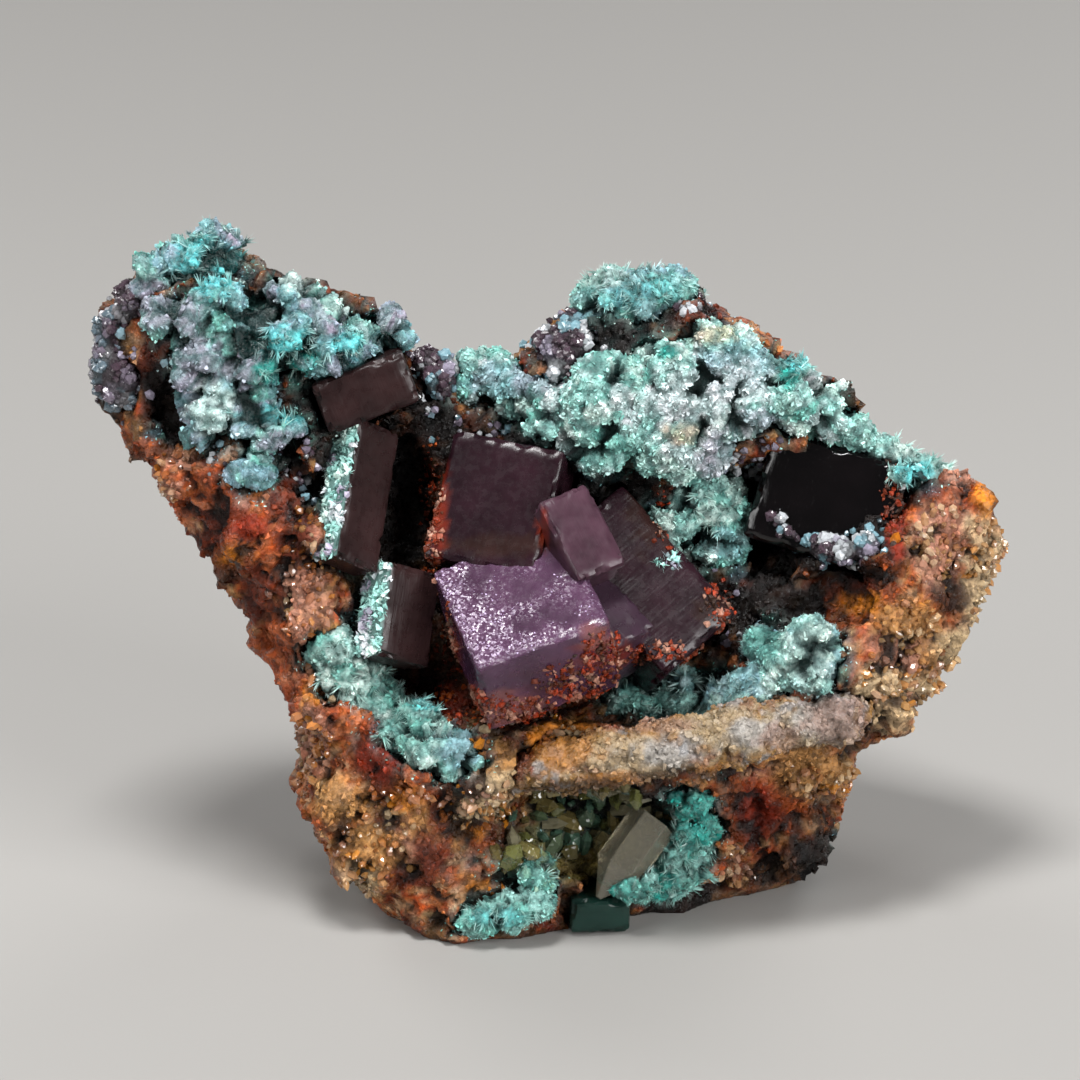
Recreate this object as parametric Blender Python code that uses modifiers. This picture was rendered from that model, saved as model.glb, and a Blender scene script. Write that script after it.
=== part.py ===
"""Fluorite on aurichalcite: a loose mineral specimen that stands on its own flat foot.

A lump of rusty, quartz-veined limonite opens at the front into a hollow. Purple fluorite cubes sit in
the hollow, pale blue-green aurichalcite crusts its walls and rims, and beads of grey hemimorphite
line its edges.

Every size below is in millimetres and is turned into metres where a mesh is made. The display side is
laid out as a viewer sees it who looks down on it by VIEW_DROP from VIEW_DISTANCE: "right" and "up" are
measured across that view, as far off as VIEW_BACK, and "back" is the true distance behind the foot's front.
"""

import math
import random

import bmesh
import bpy
from mathutils import Matrix, Vector
from mathutils.bvhtree import BVHTree

MM = 0.001

# Driving dimensions
VIEW_DROP = math.radians(20.0)
VIEW_DISTANCE = 325.0
VIEW_BACK = 6.0
VIEW_MIDDLE_UP = 29.7
LEAN = 0.14  # how far the display side leans back for each millimetre above the ledge
LEDGE_UP = 16.0
GAP = 0.3  # clearance between a piece and the one that it grew on
ROCK_VOXEL = 0.8
ROCK_FACES = 2500
CRUST_VOXEL = 0.4
FACES_PER_LUMP = 26
LEDGE_FACES = 340
SUNK = 0.3  # share of a crust's thickness that is let into the rock
THICKNESS_SPREAD = (0.85, 1.3)  # how much a crust's lumps differ in thickness
FACE_VIEWER = 0.5  # how far a crust's lumps turn from the skin's normal towards the display side
GUESSED_BACK = 10.0  # where a crust's lump is looked for when it lies past the rock's outline
CORNER_REACH = 2.0  # the most that a sharp corner moves, in gaps, so that its faces move by the gap
SLIVER = 0.05  # corners closer than this are merged in a solid that is grown by the gap
TABLE_SIZE = 120.0
FOOT_CUT_OFF = 0.4  # how much of the foot's underside the table takes off
SEED = 7

# Grains of rock on the rough skin
GRAIN_COUNT = 130
GRAIN_RADIUS = (1.0, 2.5)
GRAIN_STRETCH = (0.8, 1.4)
GRAIN_SUNK = 0.35

# How many corners a lump has and how far they stray from an ellipsoid: lumps, broken blocks, grains
ROUND_LUMP = (26, 0.16)
BROKEN_BLOCK = (12, 0.25)
ROCK_GRAIN = (14, 0.2)
LUMP_TURN = 0.5  # radians that a lump may turn either way about the way it faces
LUMP_TIP = 0.4  # radians that it may tip either way
CORNER_STRAY = 0.3  # radians that a corner may slide round the lump

# Rough skins, as the kind of noise, its grain and its full height
ROCK_BUMPS = [("VORONOI_F2_F1", 3.2, 1.5), ("BLENDER_ORIGINAL", 1.6, 0.9)]
LEDGE_BUMPS = [("VORONOI_F2_F1", 1.8, 1.0)]
CRUST_BUMPS = [("VORONOI_F1", 1.3, 0.7)]

ACROSS = Vector((1.0, 0.0, 0.0))
UPWARD = Vector((0.0, math.sin(VIEW_DROP), math.cos(VIEW_DROP)))
OUTWARD = Vector((0.0, -math.cos(VIEW_DROP), math.sin(VIEW_DROP)))
VIEW_BASIS = Matrix((ACROSS, UPWARD, OUTWARD)).transposed()
VIEW_MIDDLE = Vector((0.0, VIEW_BACK, VIEW_MIDDLE_UP / UPWARD.z - VIEW_BACK * math.tan(VIEW_DROP)))
EYE = VIEW_MIDDLE + OUTWARD * VIEW_DISTANCE

# The flat foot, as right and back
FOOT_PLAN = [
    (-5.6, -0.9), (-11.0, 5.2), (-13.4, 11.0), (-12.5, 18.0), (-4.0, 24.0), (9.0, 24.5),
    (17.5, 20.0), (19.6, 13.0), (13.5, 7.6), (6.0, 5.2), (-0.5, 2.4),
]

# The big convex masses that the rock is made of, each corner as right, up and back
MASSES = {
    "foot": [(x, y * math.sin(VIEW_DROP) - FOOT_CUT_OFF, y) for x, y in FOOT_PLAN] + [
        (-18.0, 17.0, 8.0), (-17.8, 12.5, 6.0), (-15.0, 7.0, 9.0), (-14.0, 9.0, 2.0), (-12.0, 17.0, 1.0),
        (-6.0, 13.0, 0.0), (4.0, 15.0, 1.0), (16.0, 16.5, 3.0), (23.5, 15.0, 8.0), (21.5, 8.5, 13.0),
        (22.0, 17.0, 21.0), (-16.0, 18.0, 23.0), (4.0, 16.0, 28.0),
    ],
    "left shoulder": [
        (-28.5, 35.5, 8.0), (-24.5, 29.0, 7.0), (-19.3, 19.5, 8.0), (-16.5, 14.0, 8.0), (-12.0, 16.0, 3.0),
        (-10.0, 24.0, 6.0), (-13.5, 33.0, 5.5), (-17.0, 35.0, 2.5), (-24.0, 34.5, 2.5), (-16.5, 24.0, 1.5),
        (-23.0, 36.0, 20.0), (-15.0, 22.0, 24.0), (-8.0, 26.0, 26.0),
    ],
    "left hump": [
        (-32.0, 43.0, 8.0), (-31.4, 39.8, 8.0), (-30.4, 49.6, 8.0), (-24.4, 52.0, 8.0),
        (-17.8, 49.2, 8.0), (-9.5, 44.6, 9.0), (-8.0, 39.0, 8.0), (-28.5, 34.5, 7.0),
        (-27.5, 46.0, 3.0), (-22.0, 48.0, 3.0), (-15.0, 43.5, 4.0), (-17.0, 34.0, 4.0), (-25.5, 34.0, 3.0),
        (-27.0, 47.0, 18.0), (-12.0, 42.0, 21.0), (-14.0, 32.0, 25.0), (-25.0, 37.0, 19.0),
    ],
    "right shoulder": [
        (33.3, 33.2, 9.0), (34.3, 29.6, 9.0), (32.6, 24.6, 8.0), (29.4, 19.6, 7.0), (26.0, 15.5, 6.0),
        (24.0, 36.5, 9.0), (31.2, 35.2, 9.0), (22.0, 21.0, 2.0), (25.5, 28.0, 3.0), (21.0, 15.0, 1.6),
        (14.0, 14.0, 2.6), (13.0, 20.0, 6.0), (28.5, 27.0, 20.0), (23.0, 17.0, 22.0), (24.0, 33.0, 21.0),
        (12.0, 30.0, 26.0),
    ],
    "right hump": [
        (-1.5, 43.0, 11.0), (3.0, 48.0, 11.0), (10.0, 48.6, 11.0), (12.8, 47.2, 11.0), (17.6, 43.4, 10.0),
        (25.4, 38.2, 9.0), (4.0, 47.0, 8.0), (10.5, 47.6, 8.0), (15.0, 38.0, 6.5), (5.0, 37.0, 6.0),
        (22.0, 36.5, 8.0), (-2.0, 34.0, 8.0), (3.0, 45.5, 22.0), (11.0, 46.5, 23.0), (20.0, 39.0, 21.0),
        (0.0, 32.0, 26.0), (18.0, 30.0, 25.0),
    ],
    "back wall": [
        (-16.0, 42.5, 10.0), (-7.5, 42.0, 11.0), (0.0, 42.0, 11.0), (10.0, 43.0, 11.0), (-14.0, 16.0, 8.0),
        (18.0, 16.0, 8.0), (-13.0, 40.0, 22.0), (9.0, 41.0, 24.0), (17.0, 20.0, 27.0), (-12.0, 18.0, 27.0),
    ],
}

# Hollows in the display side: right, up, back, then the half sizes across, up and back
HOLLOWS = {
    "main vug": [(-1.0, 31.0, 4.0, 9.5, 9.0, 6.0), (7.5, 27.0, 4.0, 8.0, 7.5, 5.0)],
    "gap by the long blade": [(-9.5, 33.5, 8.0, 2.6, 5.5, 4.5)],
    "left pocket": [(-27.0, 38.5, 4.0, 3.0, 4.2, 4.0), (-19.0, 36.0, 3.0, 2.2, 2.4, 3.0)],
    "pocket under the plate": [(-16.0, 33.0, 4.0, 2.6, 2.0, 3.5)],
    "right pocket": [(19.5, 25.0, 4.5, 5.5, 3.4, 5.0), (26.0, 32.6, 6.0, 1.6, 1.8, 2.5)],
    "recess under the ledge": [(5.0, 8.0, 2.5, 8.0, 4.4, 5.0), (-0.5, 9.5, 1.0, 4.0, 2.6, 3.0)],
    "orange pit": [(-24.0, 30.5, 1.6, 2.2, 1.2, 1.6), (-13.0, 15.0, -0.2, 2.6, 2.2, 1.8)],
    "lower right pit": [(15.5, 9.0, 6.0, 2.2, 2.6, 2.0)],
}

# Bigger lumps and ledges on the rock, in the same form as the hollows
LUMPS = [
    (-26.0, 33.5, 6.0, 2.4, 2.0, 2.0), (-22.5, 32.0, 5.0, 2.6, 2.2, 2.2), (-19.5, 28.5, 3.6, 4.0, 3.0, 2.0),
    (-17.6, 24.0, 4.5, 2.2, 3.8, 2.6), (-15.8, 31.5, 4.2, 2.0, 3.2, 2.2), (-17.8, 19.0, 5.0, 1.8, 2.4, 2.6),
    (-15.5, 17.0, 3.0, 2.8, 2.4, 3.0), (-15.0, 11.0, 4.0, 3.0, 3.4, 4.0), (-13.2, 6.8, 3.6, 3.2, 3.0, 3.6),
    (-9.0, 13.0, 0.5, 3.0, 2.4, 2.4), (-7.0, 8.0, 2.0, 3.2, 3.0, 3.0), (-4.0, 3.0, 2.6, 3.6, 2.2, 3.0),
    (-3.0, 13.5, 0.6, 3.4, 2.6, 2.6), (12.5, 9.0, 6.5, 2.4, 3.6, 3.0), (18.0, 7.0, 9.5, 3.4, 3.2, 3.4),
    (20.0, 13.5, 7.0, 3.2, 2.6, 3.0), (24.5, 17.5, 6.0, 3.0, 2.6, 3.0), (28.3, 22.0, 8.0, 2.6, 3.4, 3.0),
    (32.2, 28.2, 10.0, 2.0, 3.2, 3.2), (30.8, 31.8, 9.0, 2.6, 2.8, 3.0), (25.0, 24.5, 5.5, 3.2, 3.0, 2.4),
    (22.5, 20.5, 4.0, 3.0, 2.6, 2.4), (-31.1, 41.5, 9.5, 1.8, 3.4, 3.4), (-31.0, 45.0, 10.5, 1.6, 2.6, 3.0),
    (9.0, 43.5, 11.5, 3.0, 2.0, 2.4), (3.5, 41.0, 11.5, 2.4, 2.4, 2.0),
]

# Blocks that stand out of the broken back and the ends, in the same form
BACK_LUMPS = [
    (-8.0, 35.0, 26.0, 6.0, 4.0, 3.0), (-20.0, 40.0, 19.0, 5.0, 3.4, 3.4), (4.0, 27.0, 27.0, 5.4, 6.0, 3.4),
    (14.0, 36.0, 22.0, 5.0, 4.4, 3.0), (20.0, 27.0, 21.5, 4.4, 4.0, 3.6), (-11.0, 23.0, 25.0, 4.4, 4.4, 3.0),
    (12.0, 16.0, 25.0, 5.4, 3.4, 3.4), (-4.0, 14.0, 25.5, 5.0, 3.0, 3.4), (8.0, 46.0, 19.0, 3.4, 2.4, 3.4),
    (28.0, 31.0, 15.0, 3.4, 3.0, 3.4), (-27.0, 44.0, 15.0, 3.0, 3.0, 3.4),
    (-13.0, 12.0, 17.0, 3.4, 3.0, 3.4),
]

# Fluorite cubes and plates. Each is the middle of the face that shows (right, up, back), the face's
# width and height, how deep the crystal runs into the rock, and how the face is turned in degrees:
# tilted up, swung to the right and spun anticlockwise.
FLUORITE = {
    "fluorite_cluster": [
        ((-1.4, 25.7, 0.8), (10.2, 10.2, 7.4), (40.5, -9.0, 25.0)),
        ((-3.3, 32.4, 5.0), (8.4, 9.6, 7.0), (12.0, -8.0, -12.0)),
        ((3.1, 30.3, 2.6), (4.1, 6.6, 5.4), (20.0, 14.0, 22.0)),
        ((4.6, 24.4, 2.4), (5.2, 5.8, 6.0), (34.0, 10.0, 32.0)),
        ((7.6, 26.9, 5.2), (12.6, 7.4, 6.0), (16.0, 14.0, -51.0)),
    ],
    "fluorite_long_blade": [((-12.4, 33.0, 4.6), (4.4, 10.8, 2.6), (6.0, 46.0, -18.0))],
    "fluorite_short_blade": [((-9.4, 24.3, 3.2), (4.8, 7.0, 3.0), (4.0, 38.0, -13.0))],
    "fluorite_plate": [((-12.6, 40.3, 3.6), (7.0, 3.9, 6.0), (-8.0, 4.0, 21.0))],
    "fluorite_dark_cube": [((20.7, 32.4, 8.0), (10.4, 8.4, 6.0), (-4.0, -10.0, -18.0))],
    "fluorite_foot_cube": [((4.4, 2.4, 1.4), (4.4, 2.7, 5.4), (-20.0, 6.0, 0.0))],
}

# Crusts grown as many small lumps that lie on the rock's skin: the crust's thickness, then each lump's
# right and up in the display view and its half sizes across and up the skin
CRUSTS = {
    "aurichalcite_left_hump": (1.9, [
        (-24.3, 50.2, 3.2, 2.6), (-28.0, 49.0, 2.0, 1.9), (-26.6, 45.6, 2.2, 1.9), (-23.2, 46.2, 2.9, 2.5),
        (-21.4, 43.4, 2.4, 2.2), (-18.2, 47.2, 2.6, 1.9), (-16.0, 45.8, 2.8, 2.0), (-18.8, 43.6, 3.2, 2.3),
        (-15.2, 43.4, 2.9, 2.2), (-12.9, 44.3, 2.2, 1.9), (-11.2, 44.4, 2.1, 1.7), (-24.6, 42.4, 2.2, 1.8),
        (-21.8, 40.2, 2.2, 2.0), (-24.2, 38.6, 1.9, 2.6), (-20.0, 37.8, 3.2, 1.6), (-21.0, 34.8, 1.5, 1.6),
    ]),
    "aurichalcite_centre": (1.8, [
        (-4.3, 42.0, 2.3, 1.8), (-1.8, 40.6, 2.1, 1.8), (0.6, 39.4, 2.2, 2.0), (3.6, 36.8, 3.2, 2.5),
        (5.0, 40.0, 3.6, 3.2), (6.8, 34.0, 2.8, 2.3), (9.4, 41.2, 3.9, 3.2), (10.2, 37.0, 3.6, 3.2),
        (13.2, 43.2, 3.4, 2.4), (13.8, 39.8, 3.6, 3.2), (17.4, 41.0, 3.2, 2.8), (20.2, 39.0, 2.8, 2.0),
        (22.6, 37.4, 1.8, 1.4),
    ]),
    "aurichalcite_below_centre": (1.6, [
        (12.2, 32.6, 2.8, 2.8), (12.4, 31.2, 2.8, 2.4), (13.0, 29.6, 2.4, 1.8), (9.4, 30.8, 2.0, 1.7),
    ]),
    "aurichalcite_right_hump": (1.5, [
        (4.2, 47.6, 2.4, 1.8), (6.6, 47.4, 2.6, 1.8), (9.2, 48.0, 2.3, 1.7), (4.6, 49.3, 1.7, 1.3),
        (9.8, 49.2, 1.6, 1.2),
    ]),
    "aurichalcite_right_fan": (1.6, [
        (25.8, 36.2, 2.7, 1.5), (28.0, 35.4, 2.0, 1.3), (26.7, 34.4, 1.3, 1.0),
    ]),
    "aurichalcite_lower_left": (1.5, [
        (-15.2, 21.8, 1.7, 1.9), (-14.0, 20.0, 2.2, 2.0), (-12.2, 19.0, 2.1, 2.0), (-11.4, 17.4, 2.4, 2.4),
        (-9.2, 16.4, 2.1, 2.4), (-8.0, 14.6, 1.9, 2.1), (-6.2, 14.2, 2.0, 1.8),
    ]),
    "aurichalcite_lower_right": (1.7, [
        (6.8, 18.1, 2.4, 1.7), (9.0, 18.6, 2.4, 1.8), (11.2, 18.6, 2.4, 1.8), (13.5, 18.2, 2.6, 1.8),
        (16.0, 19.0, 2.4, 2.0), (17.6, 20.6, 2.2, 2.0), (19.5, 21.4, 2.2, 2.9), (16.4, 22.4, 1.6, 1.4),
    ]),
    "aurichalcite_recess": (1.7, [
        (10.4, 8.9, 2.3, 2.4), (10.0, 6.8, 2.4, 1.9), (9.0, 5.2, 2.9, 1.7), (11.0, 10.8, 1.6, 1.4),
        (6.6, 4.6, 2.2, 1.4),
    ]),
    "aurichalcite_foot": (1.2, [
        (-4.4, 2.0, 2.0, 1.0), (-2.4, 2.7, 2.0, 1.1), (-0.6, 3.6, 2.0, 1.3),
    ]),
    "aurichalcite_recess_lip": (1.4, [(1.4, 6.2, 2.2, 1.8), (-0.4, 5.4, 1.8, 1.5)]),
    "hemimorphite_left_end": (1.2, [
        (-31.0, 44.9, 1.4, 1.5), (-31.3, 42.6, 1.3, 1.7), (-30.6, 40.9, 1.5, 1.9), (-29.6, 47.0, 1.3, 1.4),
        (-31.0, 42.0, 1.5, 1.8),
    ]),
    "hemimorphite_saddle": (1.0, [
        (-7.2, 41.0, 1.0, 1.0), (-6.9, 42.4, 1.0, 0.9), (-8.2, 42.6, 1.1, 0.9),
    ]),
    "hemimorphite_right_hump": (1.2, [
        (0.6, 44.0, 1.3, 1.3), (2.6, 43.8, 1.3, 1.3), (1.4, 42.2, 1.3, 1.1), (2.4, 45.6, 1.1, 1.1),
    ]),
    "hemimorphite_pocket_lip": (0.9, [
        (17.2, 31.4, 1.0, 1.0), (18.0, 30.2, 1.1, 1.0), (19.2, 29.6, 1.1, 1.0), (20.6, 29.2, 1.2, 1.0),
        (22.2, 29.0, 1.2, 1.0), (23.6, 29.4, 1.0, 1.0),
    ]),
}

# The pale quartz ledge that runs under the hollow: right, up, back and three half sizes
LEDGE = [
    (-1.2, 12.8, 1.4, 2.2, 1.8, 2.6), (1.4, 13.4, 0.6, 2.8, 2.2, 3.0), (4.6, 14.0, 0.2, 3.0, 2.5, 3.0),
    (8.2, 14.5, 0.2, 3.0, 2.5, 3.0), (11.6, 15.2, 0.8, 3.0, 2.5, 3.0), (14.8, 15.9, 1.6, 3.0, 2.5, 3.0),
    (18.0, 16.5, 2.4, 3.0, 2.4, 2.8), (21.6, 16.9, 3.6, 2.8, 2.3, 2.8),
]

# A pointed quartz crystal in the recess: its root and its tip as right, up and back, and its radius
QUARTZ_ROOT = (8.2, 9.4, 4.6)
QUARTZ_TIP = (4.2, 3.8, 1.4)
QUARTZ_RADIUS = 1.9
QUARTZ_SIDES = 6
QUARTZ_TURN = 12.0  # degrees about its own length
QUARTZ_SHANK = 0.62  # share of its length where the pyramid starts
QUARTZ_BLUNT = 0.12  # how wide its tip is, as a share of its width

FINISHES = {
    "limonite": ((0.34, 0.17, 0.08, 1.0), 0.85),
    "quartz": ((0.66, 0.55, 0.43, 1.0), 0.5),
    "fluorite": ((0.16, 0.08, 0.17, 1.0), 0.15),
    "aurichalcite": ((0.36, 0.62, 0.57, 1.0), 0.8),
    "hemimorphite": ((0.42, 0.40, 0.46, 1.0), 0.4),
}


def sight_line(right, up):
    """The way that a viewer looks at (right, up) of the display view."""
    return VIEW_MIDDLE + ACROSS * right + UPWARD * (up - VIEW_MIDDLE_UP) - EYE


def seen(right, up, back):
    """The point in space that shows at (right, up) of the display view, in metres."""
    back += LEAN * max(0.0, up - LEDGE_UP)
    sight = sight_line(right, up)
    return (EYE + sight * ((back - EYE.y) / sight.y)) * MM


def finish(name):
    """The material of that name."""
    found = bpy.data.materials.get(name)
    if found:
        return found
    colour, roughness = FINISHES[name]
    made = bpy.data.materials.new(name)
    made.diffuse_color = colour
    made.use_nodes = True
    shader = made.node_tree.nodes["Principled BSDF"]
    shader.inputs["Base Color"].default_value = colour
    shader.inputs["Roughness"].default_value = roughness
    shader.inputs["Metallic"].default_value = 0.0
    return made


def dress(thing, name):
    """Gives the whole object that one finish."""
    thing.data.materials.clear()
    thing.data.materials.append(finish(name))
    for face in thing.data.polygons:
        face.material_index = 0


def new_object(name, shape, collection):
    """An object that holds the bmesh, which is freed."""
    mesh = bpy.data.meshes.new(name)
    shape.to_mesh(mesh)
    shape.free()
    made = bpy.data.objects.new(name, mesh)
    collection.objects.link(made)
    return made


def add_hull(shape, points):
    """The convex hull of the points, added to the bmesh."""
    corners = [shape.verts.new(point) for point in points]
    done = bmesh.ops.convex_hull(shape, input=corners)
    loose = [item for item in done["geom_interior"] if isinstance(item, bmesh.types.BMVert)]
    bmesh.ops.delete(shape, geom=loose, context="VERTS")


def add_lump(shape, centre, half_sizes, chance, basis=VIEW_BASIS, form=ROUND_LUMP):
    """An angular lump: the hull of points that lie a little off an ellipsoid, turned at random."""
    corners, rough = form
    turn = Matrix.Rotation(chance.uniform(-LUMP_TURN, LUMP_TURN), 3, basis.col[2])
    turn = Matrix.Rotation(chance.uniform(-LUMP_TIP, LUMP_TIP), 3, basis.col[0]) @ turn
    points = []
    golden = math.pi * (3.0 - math.sqrt(5.0))
    for i in range(corners):
        level = 1.0 - 2.0 * (i + 0.5) / corners
        ring = math.sqrt(1.0 - level * level)
        angle = i * golden + chance.uniform(-CORNER_STRAY, CORNER_STRAY)
        reach = 1.0 + chance.uniform(-rough, rough)
        spread = (ring * math.cos(angle), ring * math.sin(angle), level)
        local = basis @ Vector([part * size for part, size in zip(spread, half_sizes)])
        points.append(centre + turn @ local * reach * MM)
    add_hull(shape, points)


def lumps_of(rows, chance):
    """A bmesh with one lump for each row of right, up, back and three half sizes."""
    shape = bmesh.new()
    for right, up, back, *half_sizes in rows:
        add_lump(shape, seen(right, up, back), half_sizes, chance)
    return shape


def skin_of(things):
    """One search tree over the faces of all the objects."""
    points, faces = [], []
    for thing in things:
        first = len(points)
        points += [v.co for v in thing.data.vertices]
        faces += [[first + corner for corner in face.vertices] for face in thing.data.polygons]
    return BVHTree.FromPolygons(points, faces)


def skin_at(tree, right, up):
    """Where the line of sight through (right, up) meets the skin, or comes nearest to it, and the normal."""
    place, normal, _, _ = tree.ray_cast(EYE * MM, sight_line(right, up))
    if place is None:
        place, normal, _, _ = tree.find_nearest(seen(right, up, GUESSED_BACK))
    return place, normal


def crust_of(thickness, rows, tree, chance):
    """A bmesh with lumps that lie on the rock's skin."""
    shape = bmesh.new()
    for right, up, across, high in rows:
        place, normal = skin_at(tree, right, up)
        out = (normal + OUTWARD * FACE_VIEWER).normalized()
        side = (ACROSS - out * ACROSS.dot(out)).normalized()
        basis = Matrix((side, out.cross(side), out)).transposed()
        deep = thickness * chance.uniform(*THICKNESS_SPREAD)
        add_lump(shape, place - out * deep * SUNK * MM, (across, high, deep), chance, basis)
    return shape


def apply_modifiers(thing):
    """The object's mesh becomes what its modifiers make of it."""
    graph = bpy.context.evaluated_depsgraph_get()
    mesh = bpy.data.meshes.new_from_object(thing.evaluated_get(graph))
    thing.modifiers.clear()
    thing.data = mesh


def fuse(thing, voxel):
    """Overlapping shapes in one object become one skin."""
    remesh = thing.modifiers.new("fuse", "REMESH")
    remesh.mode = "VOXEL"
    remesh.voxel_size = voxel * MM
    apply_modifiers(thing)


def roughen(thing, bumps):
    """Pushes the skin in and out by each noise in turn."""
    for basis, grain, height in bumps:
        texture = bpy.data.textures.new(f"{thing.name} {basis.lower()}", "CLOUDS")
        texture.noise_basis = basis
        texture.noise_scale = grain * MM
        displace = thing.modifiers.new("roughen", "DISPLACE")
        displace.texture = texture
        displace.texture_coords = "LOCAL"
        displace.strength = height * MM
        displace.mid_level = 0.5
        apply_modifiers(thing)


def thin_out(thing, faces):
    """Fewer triangles, about as many as given."""
    shape = bmesh.new()
    shape.from_mesh(thing.data)
    bmesh.ops.triangulate(shape, faces=shape.faces)
    now = len(shape.faces)
    shape.to_mesh(thing.data)
    shape.free()
    if now > faces:
        decimate = thing.modifiers.new("thin out", "DECIMATE")
        decimate.ratio = faces / now
        apply_modifiers(thing)


def keep_largest(thing):
    """Drops the crumbs that cutting leaves beside the main body."""
    shape = bmesh.new()
    shape.from_mesh(thing.data)
    unseen = set(shape.verts)
    islands = []
    for first in shape.verts:
        if first not in unseen:
            continue
        unseen.remove(first)
        edge = [first]
        island = [first]
        while edge:
            near = [e.other_vert(v) for v in edge for e in v.link_edges]
            edge = [v for v in dict.fromkeys(near) if v in unseen]
            unseen.difference_update(edge)
            island += edge
        islands.append(island)
    islands.sort(key=len, reverse=True)
    crumbs = [v for island in islands[1:] for v in island]
    bmesh.ops.delete(shape, geom=crumbs, context="VERTS")
    shape.to_mesh(thing.data)
    shape.free()


def crystal_turn(tilt, swing, spin):
    """How a crystal that faces the viewer is turned, in degrees."""
    turn = Matrix.Rotation(math.radians(swing), 3, "Y")
    turn = turn @ Matrix.Rotation(math.radians(-tilt), 3, "X")
    turn = turn @ Matrix.Rotation(math.radians(spin), 3, "Z")
    return VIEW_BASIS @ turn


def add_crystal(shape, face_middle, sizes, turns, grow=0.0):
    """A box whose front face has its middle at that point."""
    turn = crystal_turn(*turns)
    centre = seen(*face_middle) - turn @ Vector((0.0, 0.0, sizes[2] / 2 * MM))
    full = [(size + 2 * grow) * MM for size in sizes]
    place = Matrix.Translation(centre) @ turn.to_4x4() @ Matrix.Diagonal((*full, 1.0))
    bmesh.ops.create_cube(shape, size=1.0, matrix=place)


def crystal_object(name, rows, collection, grow=0.0):
    """One solid of the crystals in the rows, joined where they grew through each other."""
    whole = None
    for i, (face_middle, sizes, turns) in enumerate(rows):
        shape = bmesh.new()
        add_crystal(shape, face_middle, sizes, turns, grow)
        label = name if i == 0 else f"{name} {i}"
        made = new_object(label, shape, collection)
        if whole is None:
            whole = made
            continue
        join = whole.modifiers.new("join", "BOOLEAN")
        join.operation = "UNION"
        join.object = made
        apply_modifiers(whole)
        bpy.data.objects.remove(made)
    return whole


def quartz_point(name, collection, grow=0.0):
    """A six-sided crystal with a pyramid at its tip."""
    root, tip = seen(*QUARTZ_ROOT), seen(*QUARTZ_TIP)
    along = tip - root
    radius = (QUARTZ_RADIUS + grow) * MM
    length = along.length + grow * MM
    turn = along.to_track_quat("Z", "Y").to_matrix().to_4x4()
    place = Matrix.Translation(root - along.normalized() * grow * MM) @ turn
    points = []
    for i in range(QUARTZ_SIDES):
        angle = math.radians(360.0 / QUARTZ_SIDES * i + QUARTZ_TURN)
        side = Vector((math.cos(angle) * radius, math.sin(angle) * radius, 0.0))
        points.append(place @ side)
        points.append(place @ (side + Vector((0.0, 0.0, length * QUARTZ_SHANK))))
        points.append(place @ (side * QUARTZ_BLUNT + Vector((0.0, 0.0, length))))
    shape = bmesh.new()
    add_hull(shape, points)
    return new_object(name, shape, collection)


def swollen(thing, collection):
    """A cutter that is the object grown by the gap."""
    shape = bmesh.new()
    shape.from_mesh(thing.data)
    bmesh.ops.remove_doubles(shape, verts=shape.verts, dist=SLIVER * MM)
    shape.normal_update()
    moves = [vertex.normal * min(vertex.calc_shell_factor(), CORNER_REACH) for vertex in shape.verts]
    for vertex, move in zip(shape.verts, moves):
        vertex.co += move * GAP * MM
    return new_object(f"{thing.name} room", shape, collection)


def cut_away(thing, cutters, name):
    """Cuts the cutters from the object, one after the other."""
    for i, cutter in enumerate(cutters):
        cut = thing.modifiers.new(f"{name} {i}", "BOOLEAN")
        cut.operation = "DIFFERENCE"
        cut.object = cutter
        cut.solver = "MANIFOLD"
    apply_modifiers(thing)
    keep_largest(thing)


def boxes_meet(a, b):
    """Whether the two objects' boxes overlap."""
    corners = []
    for thing in (a, b):
        points = [v.co for v in thing.data.vertices]
        corners.append([(min(p[k] for p in points), max(p[k] for p in points)) for k in range(3)])
    return all(a_side[0] < b_side[1] and b_side[0] < a_side[1] for a_side, b_side in zip(*corners))


def rock_core(collection, chance):
    """The rock before anything is let into it: big masses, lumps, hollows and a rough skin."""
    shape = bmesh.new()
    for corners in MASSES.values():
        add_hull(shape, [seen(*corner) for corner in corners])
    for right, up, back, *half_sizes in LUMPS:
        add_lump(shape, seen(right, up, back), half_sizes, chance)
    for right, up, back, *half_sizes in BACK_LUMPS:
        add_lump(shape, seen(right, up, back), half_sizes, chance, form=BROKEN_BLOCK)
    rock = new_object("matrix_rock", shape, collection)
    fuse(rock, ROCK_VOXEL)

    grains = bmesh.new()
    grains.from_mesh(rock.data)
    skin = [(v.co.copy(), v.normal.copy()) for v in grains.verts]
    for place, normal in chance.sample(skin, GRAIN_COUNT):
        size = chance.uniform(*GRAIN_RADIUS)
        sizes = [size * chance.uniform(*GRAIN_STRETCH) for _ in range(3)]
        add_lump(grains, place - normal * size * GRAIN_SUNK * MM, sizes, chance, form=ROCK_GRAIN)
    bpy.data.objects.remove(rock)
    rock = new_object("matrix_rock", grains, collection)
    fuse(rock, ROCK_VOXEL)
    roughen(rock, ROCK_BUMPS)
    fuse(rock, ROCK_VOXEL)
    return rock


def foot_cutter(collection):
    """A block that takes off everything below the table."""
    shape = bmesh.new()
    size = TABLE_SIZE * MM
    place = Matrix.Translation((0.0, 0.0, -size / 2)) @ Matrix.Scale(size, 4)
    bmesh.ops.create_cube(shape, size=1.0, matrix=place)
    return new_object("table", shape, collection)


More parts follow.
